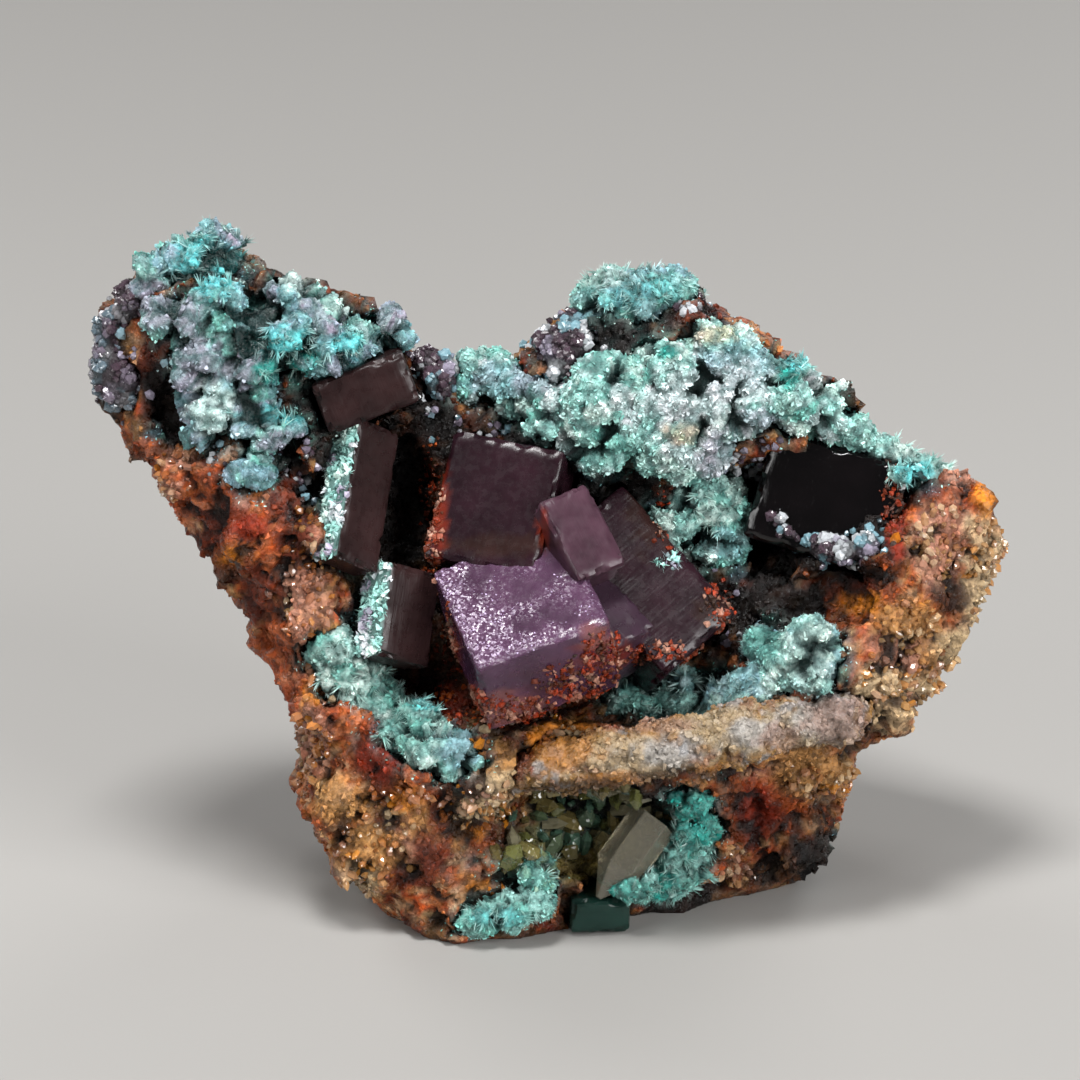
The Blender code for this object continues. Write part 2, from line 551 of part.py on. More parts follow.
def centre_on_foot(things):
    """Moves everything so that the origin is under the middle of the specimen's box."""
    points = [v.co for thing in things for v in thing.data.vertices]
    low = [min(p[k] for p in points) for k in range(3)]
    high = [max(p[k] for p in points) for k in range(3)]
    shift = Vector(((low[0] + high[0]) / 2, (low[1] + high[1]) / 2, low[2]))
    for thing in things:
        thing.data.transform(Matrix.Translation(-shift))


def main():
    for thing in list(bpy.data.objects):
        bpy.data.objects.remove(thing)
    specimen = bpy.data.collections.new("fluorite on aurichalcite")
    cutters = bpy.data.collections.new("cutters")
    bpy.context.scene.collection.children.link(specimen)
    bpy.context.scene.collection.children.link(cutters)
    chance = random.Random(SEED)

    crystals = []
    rooms = []
    for name, rows in FLUORITE.items():
        crystals.append(crystal_object(name, rows, specimen))
        cut_away(crystals[-1], [room for room in rooms if boxes_meet(crystals[-1], room)], "crystal cuts")
        dress(crystals[-1], "fluorite")
        rooms.append(crystal_object(f"{name} room", rows, cutters, GAP))
    crystals.append(quartz_point("quartz_point", specimen))
    dress(crystals[-1], "quartz")
    rooms.append(quartz_point("quartz_point room", cutters, GAP))

    rock = rock_core(specimen, chance)
    hollow_rows = [row for rows in HOLLOWS.values() for row in rows]
    hollows = new_object("hollows", lumps_of(hollow_rows, chance), cutters)
    fuse(hollows, ROCK_VOXEL)
    cut_away(rock, [hollows], "hollow cuts")
    thin_out(rock, ROCK_FACES)
    skin = skin_of([rock, *crystals])

    ledge = new_object("quartz_ledge", lumps_of(LEDGE, chance), specimen)
    fuse(ledge, CRUST_VOXEL)
    roughen(ledge, LEDGE_BUMPS)
    thin_out(ledge, LEDGE_FACES)
    cut_away(ledge, [room for room in rooms if boxes_meet(ledge, room)], "ledge cuts")
    dress(ledge, "quartz")
    rooms.append(swollen(ledge, cutters))

    crusts = []
    for name, (thickness, rows) in CRUSTS.items():
        crust = new_object(name, crust_of(thickness, rows, skin, chance), specimen)
        fuse(crust, CRUST_VOXEL)
        roughen(crust, CRUST_BUMPS)
        thin_out(crust, FACES_PER_LUMP * len(rows))
        cut_away(crust, [room for room in rooms if boxes_meet(crust, room)], "crust cuts")
        dress(crust, name.split("_")[0])
        crusts.append(crust)
        rooms.append(swollen(crust, cutters))

    cut_away(rock, rooms + [foot_cutter(cutters)], "room cuts")
    dress(rock, "limonite")

    for cutter in cutters.objects:
        cutter.hide_render = True
        cutter.display_type = "WIRE"
    centre_on_foot([*crystals, *crusts, ledge, rock])


if __name__ == "__main__":
    main()
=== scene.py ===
"""The finished look of a specimen of fluorite on aurichalcite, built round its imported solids.

Places on the display side are written as a viewer sees them who looks down on it by VIEW_DROP: right and
up, in millimetres. Stains and patches are spots in that view, each as right, up and two half sizes.
"""

import math
import random

import bmesh
import bpy
import numpy as np
from mathutils import Matrix, Vector, noise
from mathutils.bvhtree import BVHTree


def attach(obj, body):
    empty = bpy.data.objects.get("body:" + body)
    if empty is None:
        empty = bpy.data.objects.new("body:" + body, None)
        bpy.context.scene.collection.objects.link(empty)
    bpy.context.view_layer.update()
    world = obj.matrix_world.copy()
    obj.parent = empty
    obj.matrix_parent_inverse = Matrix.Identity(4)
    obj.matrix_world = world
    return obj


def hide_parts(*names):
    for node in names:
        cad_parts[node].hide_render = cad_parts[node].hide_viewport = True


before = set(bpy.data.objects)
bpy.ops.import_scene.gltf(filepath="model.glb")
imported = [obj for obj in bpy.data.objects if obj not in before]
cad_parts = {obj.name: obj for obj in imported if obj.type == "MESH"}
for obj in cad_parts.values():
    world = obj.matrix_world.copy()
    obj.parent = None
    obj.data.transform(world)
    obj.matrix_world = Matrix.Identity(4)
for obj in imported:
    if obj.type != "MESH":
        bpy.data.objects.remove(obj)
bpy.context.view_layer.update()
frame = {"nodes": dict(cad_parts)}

MM = 0.001

# The display view, with the same driving dimensions as the solids
VIEW_DROP = math.radians(20.0)
VIEW_DISTANCE = 325.0
VIEW_BACK = 6.0
VIEW_MIDDLE_UP = 29.7
LEAN = 0.14
LEDGE_UP = 16.0
FOOT_FRONT = Vector((0.82, 14.89, 0.0))  # from the foot's front to the middle of the specimen's box

ACROSS = Vector((1.0, 0.0, 0.0))
UPWARD = Vector((0.0, math.sin(VIEW_DROP), math.cos(VIEW_DROP)))
OUTWARD = Vector((0.0, -math.cos(VIEW_DROP), math.sin(VIEW_DROP)))
VIEW_BASIS = Matrix((ACROSS, UPWARD, OUTWARD)).transposed()
VIEW_MIDDLE = Vector((0.0, VIEW_BACK, VIEW_MIDDLE_UP / UPWARD.z - VIEW_BACK * math.tan(VIEW_DROP))) - FOOT_FRONT
EYE = VIEW_MIDDLE + OUTWARD * VIEW_DISTANCE

# How wide the view is at the specimen, and the lens that gives it
VIEW_WIDTH = 78.16
LENS = 150.0
SENSOR = 36.0

# Sizes of the fine surface
ROCK_VOXEL = 0.45
LEDGE_VOXEL = 0.28
CRUST_VOXEL = 0.25
CRYSTAL_STEP = 0.45
EDGE_ROUND = 0.12
CLOSE_GAP = 0.3  # how far a skin swells to close the gap between it and the rock
HOLLOW_REACH = 7.0  # how far off a wall still casts painted shade into a hollow
SKY_RAYS = 12
RICHNESS = 1.12  # a power on the rock's colours, above 1 for deeper ones

chance = random.Random(11)


def shade(red, green, blue):
    """A colour as it looks on a screen, 0 to 255, as the renderer's own numbers."""
    parts = [part / 255.0 for part in (red, green, blue)]
    return tuple(p / 12.92 if p <= 0.04045 else ((p + 0.055) / 1.055) ** 2.4 for p in parts)


LIMONITE = shade(152, 88, 44)
ORANGE_RUST = shade(186, 86, 30)
AMBER = shade(212, 134, 36)
DEEP_RUST = shade(106, 42, 20)
RED_RUST = shade(150, 50, 20)
DARK_BROWN = shade(56, 36, 26)
BLACK_BROWN = shade(14, 9, 8)
PINK_QUARTZ = shade(178, 132, 112)
TAN = shade(188, 142, 88)
CREAM = shade(212, 188, 150)
OCHRE = shade(198, 146, 66)
OLIVE = shade(120, 122, 70)
MINT = shade(152, 202, 194)
PALE_MINT = shade(200, 222, 214)
MILK = shade(196, 200, 204)
SEA_GREEN = shade(106, 172, 160)
SHADE_TEAL = shade(18, 78, 74)
TURQUOISE = shade(96, 208, 212)
TEAL = shade(18, 152, 140)
LAVENDER = shade(152, 144, 162)
GREY_BLUE = shade(128, 166, 178)
DARK_MAUVE = shade(76, 60, 70)

# The rock's stains, laid over each other in this order: colour, strength and spots; the black brown ones in the deep
# hollows are part dark coating, part painted shade
ROCK_STAINS = [
    (ORANGE_RUST, 0.6, [(-26, 33, 4, 3), (-21, 29.6, 5, 4), (-18.6, 21, 3, 5), (-14, 17.5, 3, 3),
                        (-8, 13, 3, 3), (30.6, 33, 2.4, 3), (24, 26, 3, 4), (16, 10, 3, 3), (27, 24, 3, 1.4)]),
    (PINK_QUARTZ, 0.8, [(-16.9, 26.4, 1.8, 4.8), (-26.4, 35.5, 1.0, 1.0), (-27.1, 33.3, 1.0, 1.0),
                        (28.9, 29.6, 2.4, 3.2), (26.4, 21.6, 2.6, 2.4), (-16.6, 15.2, 1.6, 3),
                        (30.4, 34.6, 1.6, 1.2), (-9.4, 7.6, 1.6, 2), (-16, 20.6, 1.2, 1.4)]),
    (TAN, 0.8, [(-12.3, 7.2, 2.8, 2.8), (26.4, 24, 2.4, 1.6), (29.6, 20.6, 2.4, 2.4), (19.6, 13, 3, 2),
                (-7.6, 9, 2.4, 2), (-14, 10.6, 2.6, 2), (0, 13.5, 4, 1.6)]),
    (CREAM, 0.8, [(32.2, 27, 1.8, 4.6), (28.6, 18.4, 2.4, 1.4), (25.2, 18.2, 3.2, 2.4), (-10, 10.6, 1.8, 1),
                  (-13, 5.2, 1.8, 1.4), (30.6, 21.6, 2.0, 2.2), (-4.4, 10.4, 2.4, 1.1), (-2, 12, 2, 1)]),
    (AMBER, 0.85, [(32.4, 33.2, 1.1, 1.7), (-2.6, 4.0, 2.8, 1), (-10.1, 10.9, 2, 1), (1.8, 15.6, 2.6, 1.2),
                   (-15.9, 18.8, 1.3, 1), (23.2, 25.2, 2.0, 1.0), (-22.4, 28.6, 2, 0.8), (-5.4, 8.6, 1.4, 0.8)]),
    (DEEP_RUST, 0.9, [(-22.8, 31.1, 2.6, 1.2), (23.2, 26.8, 1.8, 1.2), (-11.6, 13.6, 2.4, 2.4),
                      (-6.2, 18.2, 1.8, 1.8), (2.4, 20, 3, 2.2), (16, 9.4, 1.8, 2.4), (25.4, 32.0, 1.2, 2.8),
                      (-18, 32.6, 2, 2), (-19, 17.6, 1.2, 1.6), (12, 46.4, 2, 1.6), (-8, 7.2, 1.6, 1.5),
                      (-28.4, 41, 1, 4), (14.5, 26.4, 1.8, 1.2), (27.4, 33.4, 2.2, 1), (-24.6, 29.4, 2.2, 1.4),
                      (-20.6, 25.8, 1.4, 2.6), (-17.8, 29.4, 1.2, 1.8), (-7.4, 9.8, 1, 1.8), (-9.6, 5.2, 1.8, 1)]),
    (DARK_BROWN, 0.85, [(-11, 9.2, 1.4, 0.9), (-14.2, 8.6, 0.9, 1.4), (-22.6, 27.2, 1.2, 1), (-5, 11.6, 1.6, 0.9),
                        (29.8, 25.6, 1.4, 1.2), (26.8, 18, 1.6, 0.8), (18.4, 6.4, 1.2, 1.8), (-27.4, 31, 0.8, 1.4)]),
    (OLIVE, 0.75, [(3, 8, 5, 3.4), (-1, 6.4, 2, 2), (3.4, 10.8, 5, 1.2)]),
    # near-black in the deep hollows: part dark coating, part painted shade
    (BLACK_BROWN, 0.97, [(-26.6, 39.6, 3.0, 3.8), (-10.4, 32.6, 2.6, 6.6), (4, 28, 12, 9), (17, 25.2, 5.6, 2.8),
                         (21, 31, 6, 5), (-19.6, 36, 2.4, 2.2), (-16, 33, 2.2, 1.5), (4, 43.4, 5, 3),
                         (20.4, 6.4, 2.4, 3.4), (6, 10.6, 8, 1.6), (10, 3, 4, 1.8), (-24, 42, 4, 3), (-31, 42, 1.6, 4),
                         (-20, 45, 9, 4.6), (-7.6, 38.6, 2.4, 3), (8, 40, 9, 4), (0, 38, 4, 2.4),
                         (-17, 38.4, 2.6, 3), (-14.4, 36, 2.2, 2), (-20.4, 39.6, 3, 1.6), (5, 45.6, 3.4, 2)]),
    (RED_RUST, 0.8, [(-6.4, 18.4, 1.1, 1.4), (2.6, 19.4, 2.4, 1.2), (15.8, 10, 1.2, 1.8), (-11.4, 13.8, 1.6, 1.4),
                     (25.8, 31, 0.8, 2.4), (-20.8, 30.6, 1.4, 0.9), (11.4, 24.6, 2.2, 1.2)]),
]
LEDGE_STAINS = [
    (CREAM, 0.8, [(6, 14, 5, 1.6), (14, 16, 5, 1.6), (19, 16, 4, 1.4)]),
    (MILK, 0.6, [(9.6, 14.4, 2.6, 1.2), (20.6, 17, 3, 2), (15.6, 15.8, 2, 1)]),
    (PINK_QUARTZ, 0.6, [(21.6, 16.6, 2.6, 1.6), (17.4, 15.4, 1.6, 1), (8, 16.4, 3, 0.7)]),
    (AMBER, 0.7, [(1.6, 14.6, 2.6, 1.8), (5, 12.4, 2.4, 0.6), (12.4, 13.0, 1.6, 0.5)]),
    (RED_RUST, 0.7, [(-1.6, 13.6, 1.4, 1.4), (3.4, 16.6, 3, 0.7), (-0.4, 15.6, 1.2, 0.8)]),
    (DARK_BROWN, 0.7, [(3, 11.8, 4, 0.7), (11, 12.6, 4, 0.6)]),
]

# Each crust: how it grew, the colours that its lumps take in turn, spots that differ, and where long sprays stand
CRUST_LOOKS = {
    "aurichalcite_left_hump": ("lumpy", [GREY_BLUE, SEA_GREEN, MINT, GREY_BLUE, LAVENDER, SEA_GREEN], [
        (LAVENDER, 0.8, [(-26.8, 46.6, 2.4, 2.0), (-25, 42.6, 2, 2.4), (-21, 42.2, 2.4, 1.4), (-18, 36.8, 3, 0.8)]),
        (PALE_MINT, 0.7, [(-17.4, 48.6, 1.4, 1.2), (-23.6, 39, 1.8, 2), (-14.6, 46.8, 1.4, 0.7)]),
        (TEAL, 0.95, [(-18.6, 41.9, 2.0, 1.1), (-20.4, 44, 1.0, 0.8), (-17.2, 43.0, 1.2, 0.7)]),
        (TURQUOISE, 0.85, [(-23.9, 49.6, 2.6, 2.2), (-18.6, 44.0, 2.2, 1.2), (-19.4, 38.7, 2.8, 0.7),
                           (-14.0, 43.8, 1.2, 1.0)]),
    ], [(-23.9, 49.6, 3.0, 2.4), (-18.4, 43.6, 3, 2.0), (-19.4, 38.5, 2.8, 0.8), (-14.2, 43.8, 1.8, 1.4)]),
    "aurichalcite_centre": ("granular", [MINT, PALE_MINT, MINT, MILK, SEA_GREEN], [
        (GREY_BLUE, 0.7, [(-3.0, 41.2, 2.6, 1.4), (14.4, 42.4, 3.0, 1.8)]),
        (LAVENDER, 0.6, [(-0.6, 41.2, 1.8, 1.2), (13, 35.4, 1.8, 2.2), (15.4, 38.2, 2.2, 1.2)]),
        (MILK, 0.7, [(10.9, 39.8, 3.4, 2.4), (14.4, 40.8, 2.6, 1.8)]),
        (TAN, 0.5, [(10.4, 37.4, 1.6, 0.9), (12.4, 44.6, 2.0, 0.8)]),
        (SEA_GREEN, 0.6, [(5, 36.8, 2.6, 1.8), (7.4, 33.6, 2.2, 1.6), (12, 32, 2, 2)]),
        (TEAL, 0.95, [(9.3, 43.3, 0.7, 0.5), (18.0, 41.8, 0.8, 1.2)]),
        (TURQUOISE, 0.85, [(18.3, 42.8, 1.2, 0.9)]),
    ], [(18.1, 42.2, 1.4, 1.4)]),
    "aurichalcite_below_centre": ("granular", [MINT, SEA_GREEN, PALE_MINT], [
        (GREY_BLUE, 0.6, [(13.4, 29.4, 2, 1.2)]),
    ], [(12.4, 31.6, 1.6, 1.6)]),
    "aurichalcite_right_hump": ("silky", [MINT, SEA_GREEN, GREY_BLUE], [
        (PALE_MINT, 0.6, [(4.6, 48.9, 1.8, 1.0)]),
        (TURQUOISE, 0.45, [(8.7, 47.8, 2.0, 1), (6, 47.2, 1.8, 0.8)]),
    ], [(7, 47.8, 4, 1.8)]),
    "aurichalcite_right_fan": ("silky", [PALE_MINT, MINT], [
        (TURQUOISE, 0.95, [(27.1, 34.5, 1.7, 0.8)]),
    ], [(27, 35, 3, 1.6)]),
    "aurichalcite_lower_left": ("silky", [MINT, PALE_MINT, SEA_GREEN], [
        (TURQUOISE, 0.75, [(-8.2, 18.6, 1.4, 1.4)]),
        (SEA_GREEN, 0.7, [(-9.6, 15.8, 1.4, 1.8)]),
        (GREY_BLUE, 0.85, [(-5.8, 14.6, 1.8, 1.6)]),
    ], [(-12, 18.6, 5, 4)]),
    "aurichalcite_lower_right": ("silky", [MINT, PALE_MINT, MINT, GREY_BLUE], [
        (SEA_GREEN, 0.85, [(7.2, 18.2, 2, 1.4), (16.2, 22.2, 1.6, 1.4)]),
        (PALE_MINT, 0.6, [(19.4, 21.4, 1.8, 2.4)]),
        (GREY_BLUE, 0.6, [(13.6, 19.4, 2, 1)]),
    ], [(9, 18.4, 5, 2), (14, 18.2, 3, 1.6)]),
    "aurichalcite_recess": ("silky", [SEA_GREEN, TEAL, MINT], [(TEAL, 0.7, [(10.8, 9, 1.8, 2)])], [(9.6, 7, 3.4, 3)]),
    "aurichalcite_recess_lip": ("granular", [SEA_GREEN, OLIVE, MINT], [], [(0.8, 6, 1.4, 1.2)]),
    "aurichalcite_foot": ("silky", [MINT, SEA_GREEN], [(TURQUOISE, 0.5, [(-3, 2.4, 2, 0.8)])], [(-2.6, 2.8, 3, 1)]),
}

# Where mint dust, lavender beads and red crumbs also lie on the bare rock
MINT_DUST = [
    (-24, 47, 5, 3.6), (-17, 45, 6, 3), (-22, 41, 3, 3.6), (-18, 37.6, 3.2, 1.6), (-20.6, 34.6, 2.2, 1.4),
    (-13.6, 30.8, 1.4, 4.6), (-12.6, 24.4, 1.4, 2.6), (7, 47.5, 5, 1.8), (16, 41.4, 7, 2.4), (9, 7.4, 3.6, 3),
    (-2.2, 6.2, 3.2, 1.8), (22, 7.4, 0.9, 2.2), (9.2, 28.4, 1.2, 0.7), (4, 35, 4, 1.2), (-15.4, 32.4, 1.8, 1.2),
    (28.4, 34.6, 2, 0.8), (2.6, 9, 3.4, 1.2), (-27.6, 37.6, 1.2, 0.8),
]
BEAD_DUST = [
    (-31, 43, 1.8, 4.6), (-24.6, 43.6, 3, 2.6), (-18.6, 36.2, 3.2, 1.0), (-7.6, 41.4, 2.4, 2.2), (-6.8, 38.6, 1.8, 1.4),
    (1.4, 43.6, 2.8, 3), (15.8, 35.4, 3.2, 2.0), (19.6, 29.8, 4.4, 1.4), (13.4, 26.8, 1.6, 1.2), (-2, 37.4, 4.6, 1.0),
    (23.4, 28.6, 2, 1), (10.4, 46.8, 2, 1.2), (-15.8, 34, 2.4, 1.4), (15.4, 22.6, 2.4, 1.0), (-23, 35.6, 1.4, 1),
]
RED_CRUMBS = [
    (-7.8, 32.6, 0.8, 5), (-6.8, 20.4, 0.8, 3.4), (-5.6, 17.6, 2.4, 1.4), (-1.6, 17.4, 3, 1.1), (2.6, 19.4, 2.8, 1.6),
    (4.4, 21.6, 1.6, 1.2), (25.5, 31.6, 0.9, 3), (8.6, 21.6, 2.4, 0.8), (12.8, 25.0, 0.9, 1.8),
    (8.8, 31.4, 0.5, 2.4),
]
# Small tufts of mint on the fluorite
MINT_TUFTS = [(9.4, 28.2, 0.9, 0.45), (12.6, 27.2, 0.6, 0.4), (-7.4, 36.4, 0.6, 0.5)]
# Where small clear crystals stand on the bare rock: smoky olive in the recess, pinkish and cream elsewhere
OLIVE_CRYSTALS = [(1, 9, 3.4, 2.4), (5.6, 8.4, 3, 2.4), (3, 11.4, 5, 1), (-1.6, 7, 2, 1.6)]
QUARTZ_CRYSTALS = [
    (-16.9, 26.4, 1.8, 4.8), (-26.6, 34.6, 1.4, 2.0), (28.9, 29.6, 2.2, 3), (32.4, 27, 1.2, 4.4), (14.2, 6.2, 1.2, 1.4),
    (-16.6, 15.2, 1.6, 3), (-12.3, 7.2, 2.8, 2.8), (-10.6, 10.4, 2.6, 1.4), (-4.4, 10.4, 3, 1.6), (27, 19.6, 4, 2),
    (-15.8, 20, 1.2, 2), (-5, 14.4, 2, 1.4), (26.4, 23.6, 2, 2), (1.6, 15.4, 2, 1.2), (20.4, 12.4, 2.4, 1.6),
]

# Fluorite crystals, as the solids have them: the middle of the face that shows (right, up, back), its width,
# height and depth, how it is turned (tilted up, swung, spun), and its finish
CRYSTALS = {
    "fluorite_cluster": [
        ((-1.4, 25.7, 0.8), (10.2, 10.2, 7.4), (40.5, -9.0, 25.0), "frosted"),
        ((-3.3, 32.4, 5.0), (8.4, 9.6, 7.0), (12.0, -8.0, -12.0), "maroon"),
        ((3.1, 30.3, 2.6), (4.1, 6.6, 5.4), (20.0, 14.0, 22.0), "mauve"),
        ((4.6, 24.4, 2.4), (5.2, 5.8, 6.0), (34.0, 10.0, 32.0), "grey mauve"),
        ((7.6, 26.9, 5.2), (12.6, 7.4, 6.0), (16.0, 14.0, -51.0), "maroon"),
    ],
    "fluorite_long_blade": [((-12.4, 33.0, 4.6), (4.4, 10.8, 2.6), (6.0, 46.0, -18.0), "brown")],
    "fluorite_short_blade": [((-9.4, 24.3, 3.2), (4.8, 7.0, 3.0), (4.0, 38.0, -13.0), "brown")],
    "fluorite_plate": [((-12.6, 40.3, 3.6), (7.0, 3.9, 6.0), (-8.0, 4.0, 21.0), "brown")],
    "fluorite_dark_cube": [((20.7, 32.4, 8.0), (10.4, 8.4, 6.0), (-4.0, -10.0, -18.0), "black")],
    "fluorite_foot_cube": [((4.4, 2.4, 1.4), (4.4, 2.7, 5.4), (-20.0, 6.0, 0.0), "dark green")],
}

# How each finish of fluorite looks: its colour, what it absorbs and how strongly, roughness, and how clear
FLUORITE_FINISHES = {
    "frosted": (shade(104, 68, 98), shade(160, 96, 158), 90.0, 0.2, 0.6),
    "maroon": (shade(40, 20, 28), shade(130, 66, 90), 260.0, 0.22, 0.3),
    "mauve": (shade(76, 50, 62), shade(150, 92, 124), 180.0, 0.28, 0.3),
    "grey mauve": (shade(66, 46, 60), shade(136, 98, 126), 200.0, 0.26, 0.4),
    "brown": (shade(44, 28, 28), shade(120, 78, 70), 260.0, 0.26, 0.2),
    "black": (shade(9, 6, 7), shade(70, 46, 50), 500.0, 0.07, 0.2),
    "dark green": (shade(30, 62, 54), shade(60, 110, 92), 300.0, 0.16, 0.5),
}

# Stains on the fluorite, in the same form as the rock's
FLUORITE_STAINS = [
    (RED_RUST, 0.55, [(-7.4, 32.6, 0.7, 4.6), (0.3, 30.2, 0.4, 1.6), (-6.4, 20, 0.8, 3.6), (4.4, 21.4, 2.0, 1.2)]),
    (shade(190, 120, 110), 0.6, [(-2.6, 17.4, 3.6, 1.4), (4.0, 22.6, 1.2, 1.0)]),
    (DARK_BROWN, 0.5, [(8.6, 32.4, 2.4, 3.4), (12.4, 24.6, 1.4, 1.2), (-2.8, 29.4, 4, 0.8)]),
]


def seen(right, up, back):
    """The point that shows at (right, up) of the display view, as far back as the solids have it, in metres."""
    back += LEAN * max(0.0, up - LEDGE_UP) - FOOT_FRONT.y
    sight = VIEW_MIDDLE + ACROSS * right + UPWARD * (up - VIEW_MIDDLE_UP) - EYE
    return (EYE + sight * ((back - EYE.y) / sight.y)) * MM


def in_view(points):
    """Where points, in metres, show in the display view, as right and up in millimetres."""
    from_eye = points / MM - np.array(EYE)
    nearer = VIEW_DISTANCE / -(from_eye @ np.array(OUTWARD))
    right = (from_eye @ np.array(ACROSS)) * nearer
    up = VIEW_MIDDLE_UP + (from_eye @ np.array(UPWARD)) * nearer
    return np.stack([right, up], axis=1)


def points_of(thing):
    """The object's points and their normals, as arrays."""
    count = len(thing.data.vertices)
    points = np.zeros(count * 3)
    thing.data.vertices.foreach_get("co", points)
    normals = np.zeros(count * 3)
    thing.data.vertices.foreach_get("normal", normals)
    return points.reshape(-1, 3), normals.reshape(-1, 3)


def move_points(thing, points):
    """Puts the object's points there."""
    thing.data.vertices.foreach_set("co", points.ravel())
    thing.data.update()


def new_object(name, shape):
    """An object in the scene that holds the bmesh, which is freed."""
    mesh = bpy.data.meshes.new(name)
    shape.to_mesh(mesh)
    shape.free()
    made = bpy.data.objects.new(name, mesh)
    bpy.context.scene.collection.objects.link(made)
    return made


def settle(thing):
    """The object's mesh becomes what its modifiers make of it."""
    graph = bpy.context.evaluated_depsgraph_get()
    mesh = bpy.data.meshes.new_from_object(thing.evaluated_get(graph))
    thing.modifiers.clear()
    thing.data = mesh


def fine_copy(node, name, voxel):
    """A copy of one of the solids, with even small faces."""
    shape = bmesh.new()
    shape.from_mesh(frame["nodes"][node].data)
    bmesh.ops.remove_doubles(shape, verts=shape.verts, dist=0.001 * MM)
    made = new_object(name, shape)
    remesh = made.modifiers.new("fine", "REMESH")
    remesh.mode = "VOXEL"
    remesh.voxel_size = voxel * MM
    remesh.use_smooth_shade = True
    smooth = made.modifiers.new("soften", "SMOOTH")
    smooth.factor = 0.5
    smooth.iterations = 3
    settle(made)
    made.data.materials.clear()
    return made


def tree_of(nodes):
    """One search tree over the faces of those solids."""
    points, faces = [], []
    for node in nodes:
        mesh = frame["nodes"][node].data
        first = len(points)
        points += [v.co for v in mesh.vertices]
        faces += [[first + corner for corner in face.vertices] for face in mesh.polygons]
    return BVHTree.FromPolygons(points, faces)


def cloud(points, grain, seed):
    """Soft noise, about -1 to 1, with that grain in millimetres."""
    places = points / (grain * MM) + seed
    return np.array([noise.fractal(place, 0.9, 2.1, 3) for place in places])


def cells(points, grain, seed):
    """For each point the distance to the nearest of scattered points, in grains, and that one's own number."""
    found = np.zeros((len(points), 2))
    for i, place in enumerate(points / (grain * MM) + seed):
        distances, middles = noise.voronoi(place)
        found[i] = distances[0], noise.cell(middles[0] * 53.0)
    return found[:, 0], found[:, 1]


def broken(points, grain, seed):
    """Heights of a surface of flat, tilted faces, about -1 to 1."""
    heights = np.zeros(len(points))
    half = Vector((0.5, 0.5, 0.5))
    for i, place in enumerate(points / (grain * MM) + seed):
        middle = noise.voronoi(place)[1][0]
        way = noise.cell_vector(middle * 97.0) - half
        heights[i] = (Vector(place) - middle).dot(way) * 2.0 + way.x
    return heights


def press(thing, heights):
    """Moves each point along its normal by that many millimetres."""
    points, normals = points_of(thing)
    move_points(thing, points + normals * heights[:, None] * MM)


def smoothstep(low, high, values):
    """0 below low, 1 above high, and a smooth rise between."""
    part = np.clip((values - low) / (high - low), 0.0, 1.0)
    return part * part * (3.0 - 2.0 * part)


def patch(view, spots, wobble):
    """How far each place in the view lies in the spots, 0 to 1, with ragged edges."""
    most = np.zeros(len(view))
    for right, up, across, high in spots:
        off = np.hypot((view[:, 0] - right) / across, (view[:, 1] - up) / high)
        most = np.maximum(most, 1.0 - smoothstep(0.7, 1.2, off + 0.45 * wobble))
    return most


def blend(under, over, part):
    """Colours mixed by that part, point by point."""
    part = np.asarray(part)[:, None]
    return under * (1.0 - part) + np.asarray(over) * part


def stained(colours, view, stains, wobble):
    """The colours with each stain laid over them in turn."""
    for colour, strength, spots in stains:
        colours = blend(colours, colour, patch(view, spots, wobble) * strength)
    return colours


def by_luck(palette, luck):
    """A colour of the palette for each number from 0 to 1."""
    picked = np.minimum((luck * len(palette)).astype(int), len(palette) - 1)
    return np.array(palette)[picked]


def openness(points, normals, tree):
    """How much of the light from in front of its surface each point gets past the walls round it, 0 to 1."""
    golden = math.pi * (3.0 - math.sqrt(5.0))
    spread = []
    for i in range(SKY_RAYS):
        level = math.sqrt(1.0 - (i + 0.5) / SKY_RAYS)
        ring = math.sqrt(1.0 - level * level)
        spread.append((ring * math.cos(i * golden), ring * math.sin(i * golden), level))
    reach = HOLLOW_REACH * MM
    result = np.zeros(len(points))
    for i, (point, normal) in enumerate(zip(points, normals)):
        out = Vector(normal)
        side = out.orthogonal().normalized()
        other = out.cross(side)
        start = Vector(point) + out * 0.5 * MM
        free = 0
        for x, y, z in spread:
            if tree.ray_cast(start, side * x + other * y + out * z, reach)[0] is None:
                free += 1
        result[i] = free / SKY_RAYS
    return result


def near_to(points, tree, reach):
    """1 at the solids in the tree, falling to 0 that many millimetres off."""
    result = np.zeros(len(points))
    for i, point in enumerate(points):
        found = tree.find_nearest(Vector(point), reach * MM)
        if found[0] is not None:
            result[i] = 1.0 - found[3] / (reach * MM)
    return result


def keep_tint(thing, colours):
    """Stores a colour for each point."""
    layer = thing.data.attributes.get("tint") or thing.data.attributes.new("tint", "FLOAT_COLOR", "POINT")
    full = np.ones((len(colours), 4))
    full[:, :3] = np.clip(colours, 0.0, 1.0)
    layer.data.foreach_set("color", full.ravel())


def keep_number(thing, name, values):
    """Stores a number for each point."""
    layer = thing.data.attributes.get(name) or thing.data.attributes.new(name, "FLOAT", "POINT")
    layer.data.foreach_set("value", np.asarray(values, float))


def numbers_of(thing, name):
    """The numbers that were stored for the points."""
    values = np.zeros(len(thing.data.vertices))
    thing.data.attributes[name].data.foreach_get("value", values)
    return values


def new_finish(name):
    """A material and its node tree, with its shader."""
    finish = bpy.data.materials.new(name)
    finish.use_nodes = True
    tree = finish.node_tree
    return finish, tree, tree.nodes["Principled BSDF"]


def attribute_node(tree, name, output):
    """What the points of the piece hold under that name."""
    made = tree.nodes.new("ShaderNodeAttribute")
    made.attribute_name = name
    return made.outputs[output]


def place_node(tree):
    """The place on the piece, in metres."""
    return tree.nodes.new("ShaderNodeTexCoord").outputs["Object"]


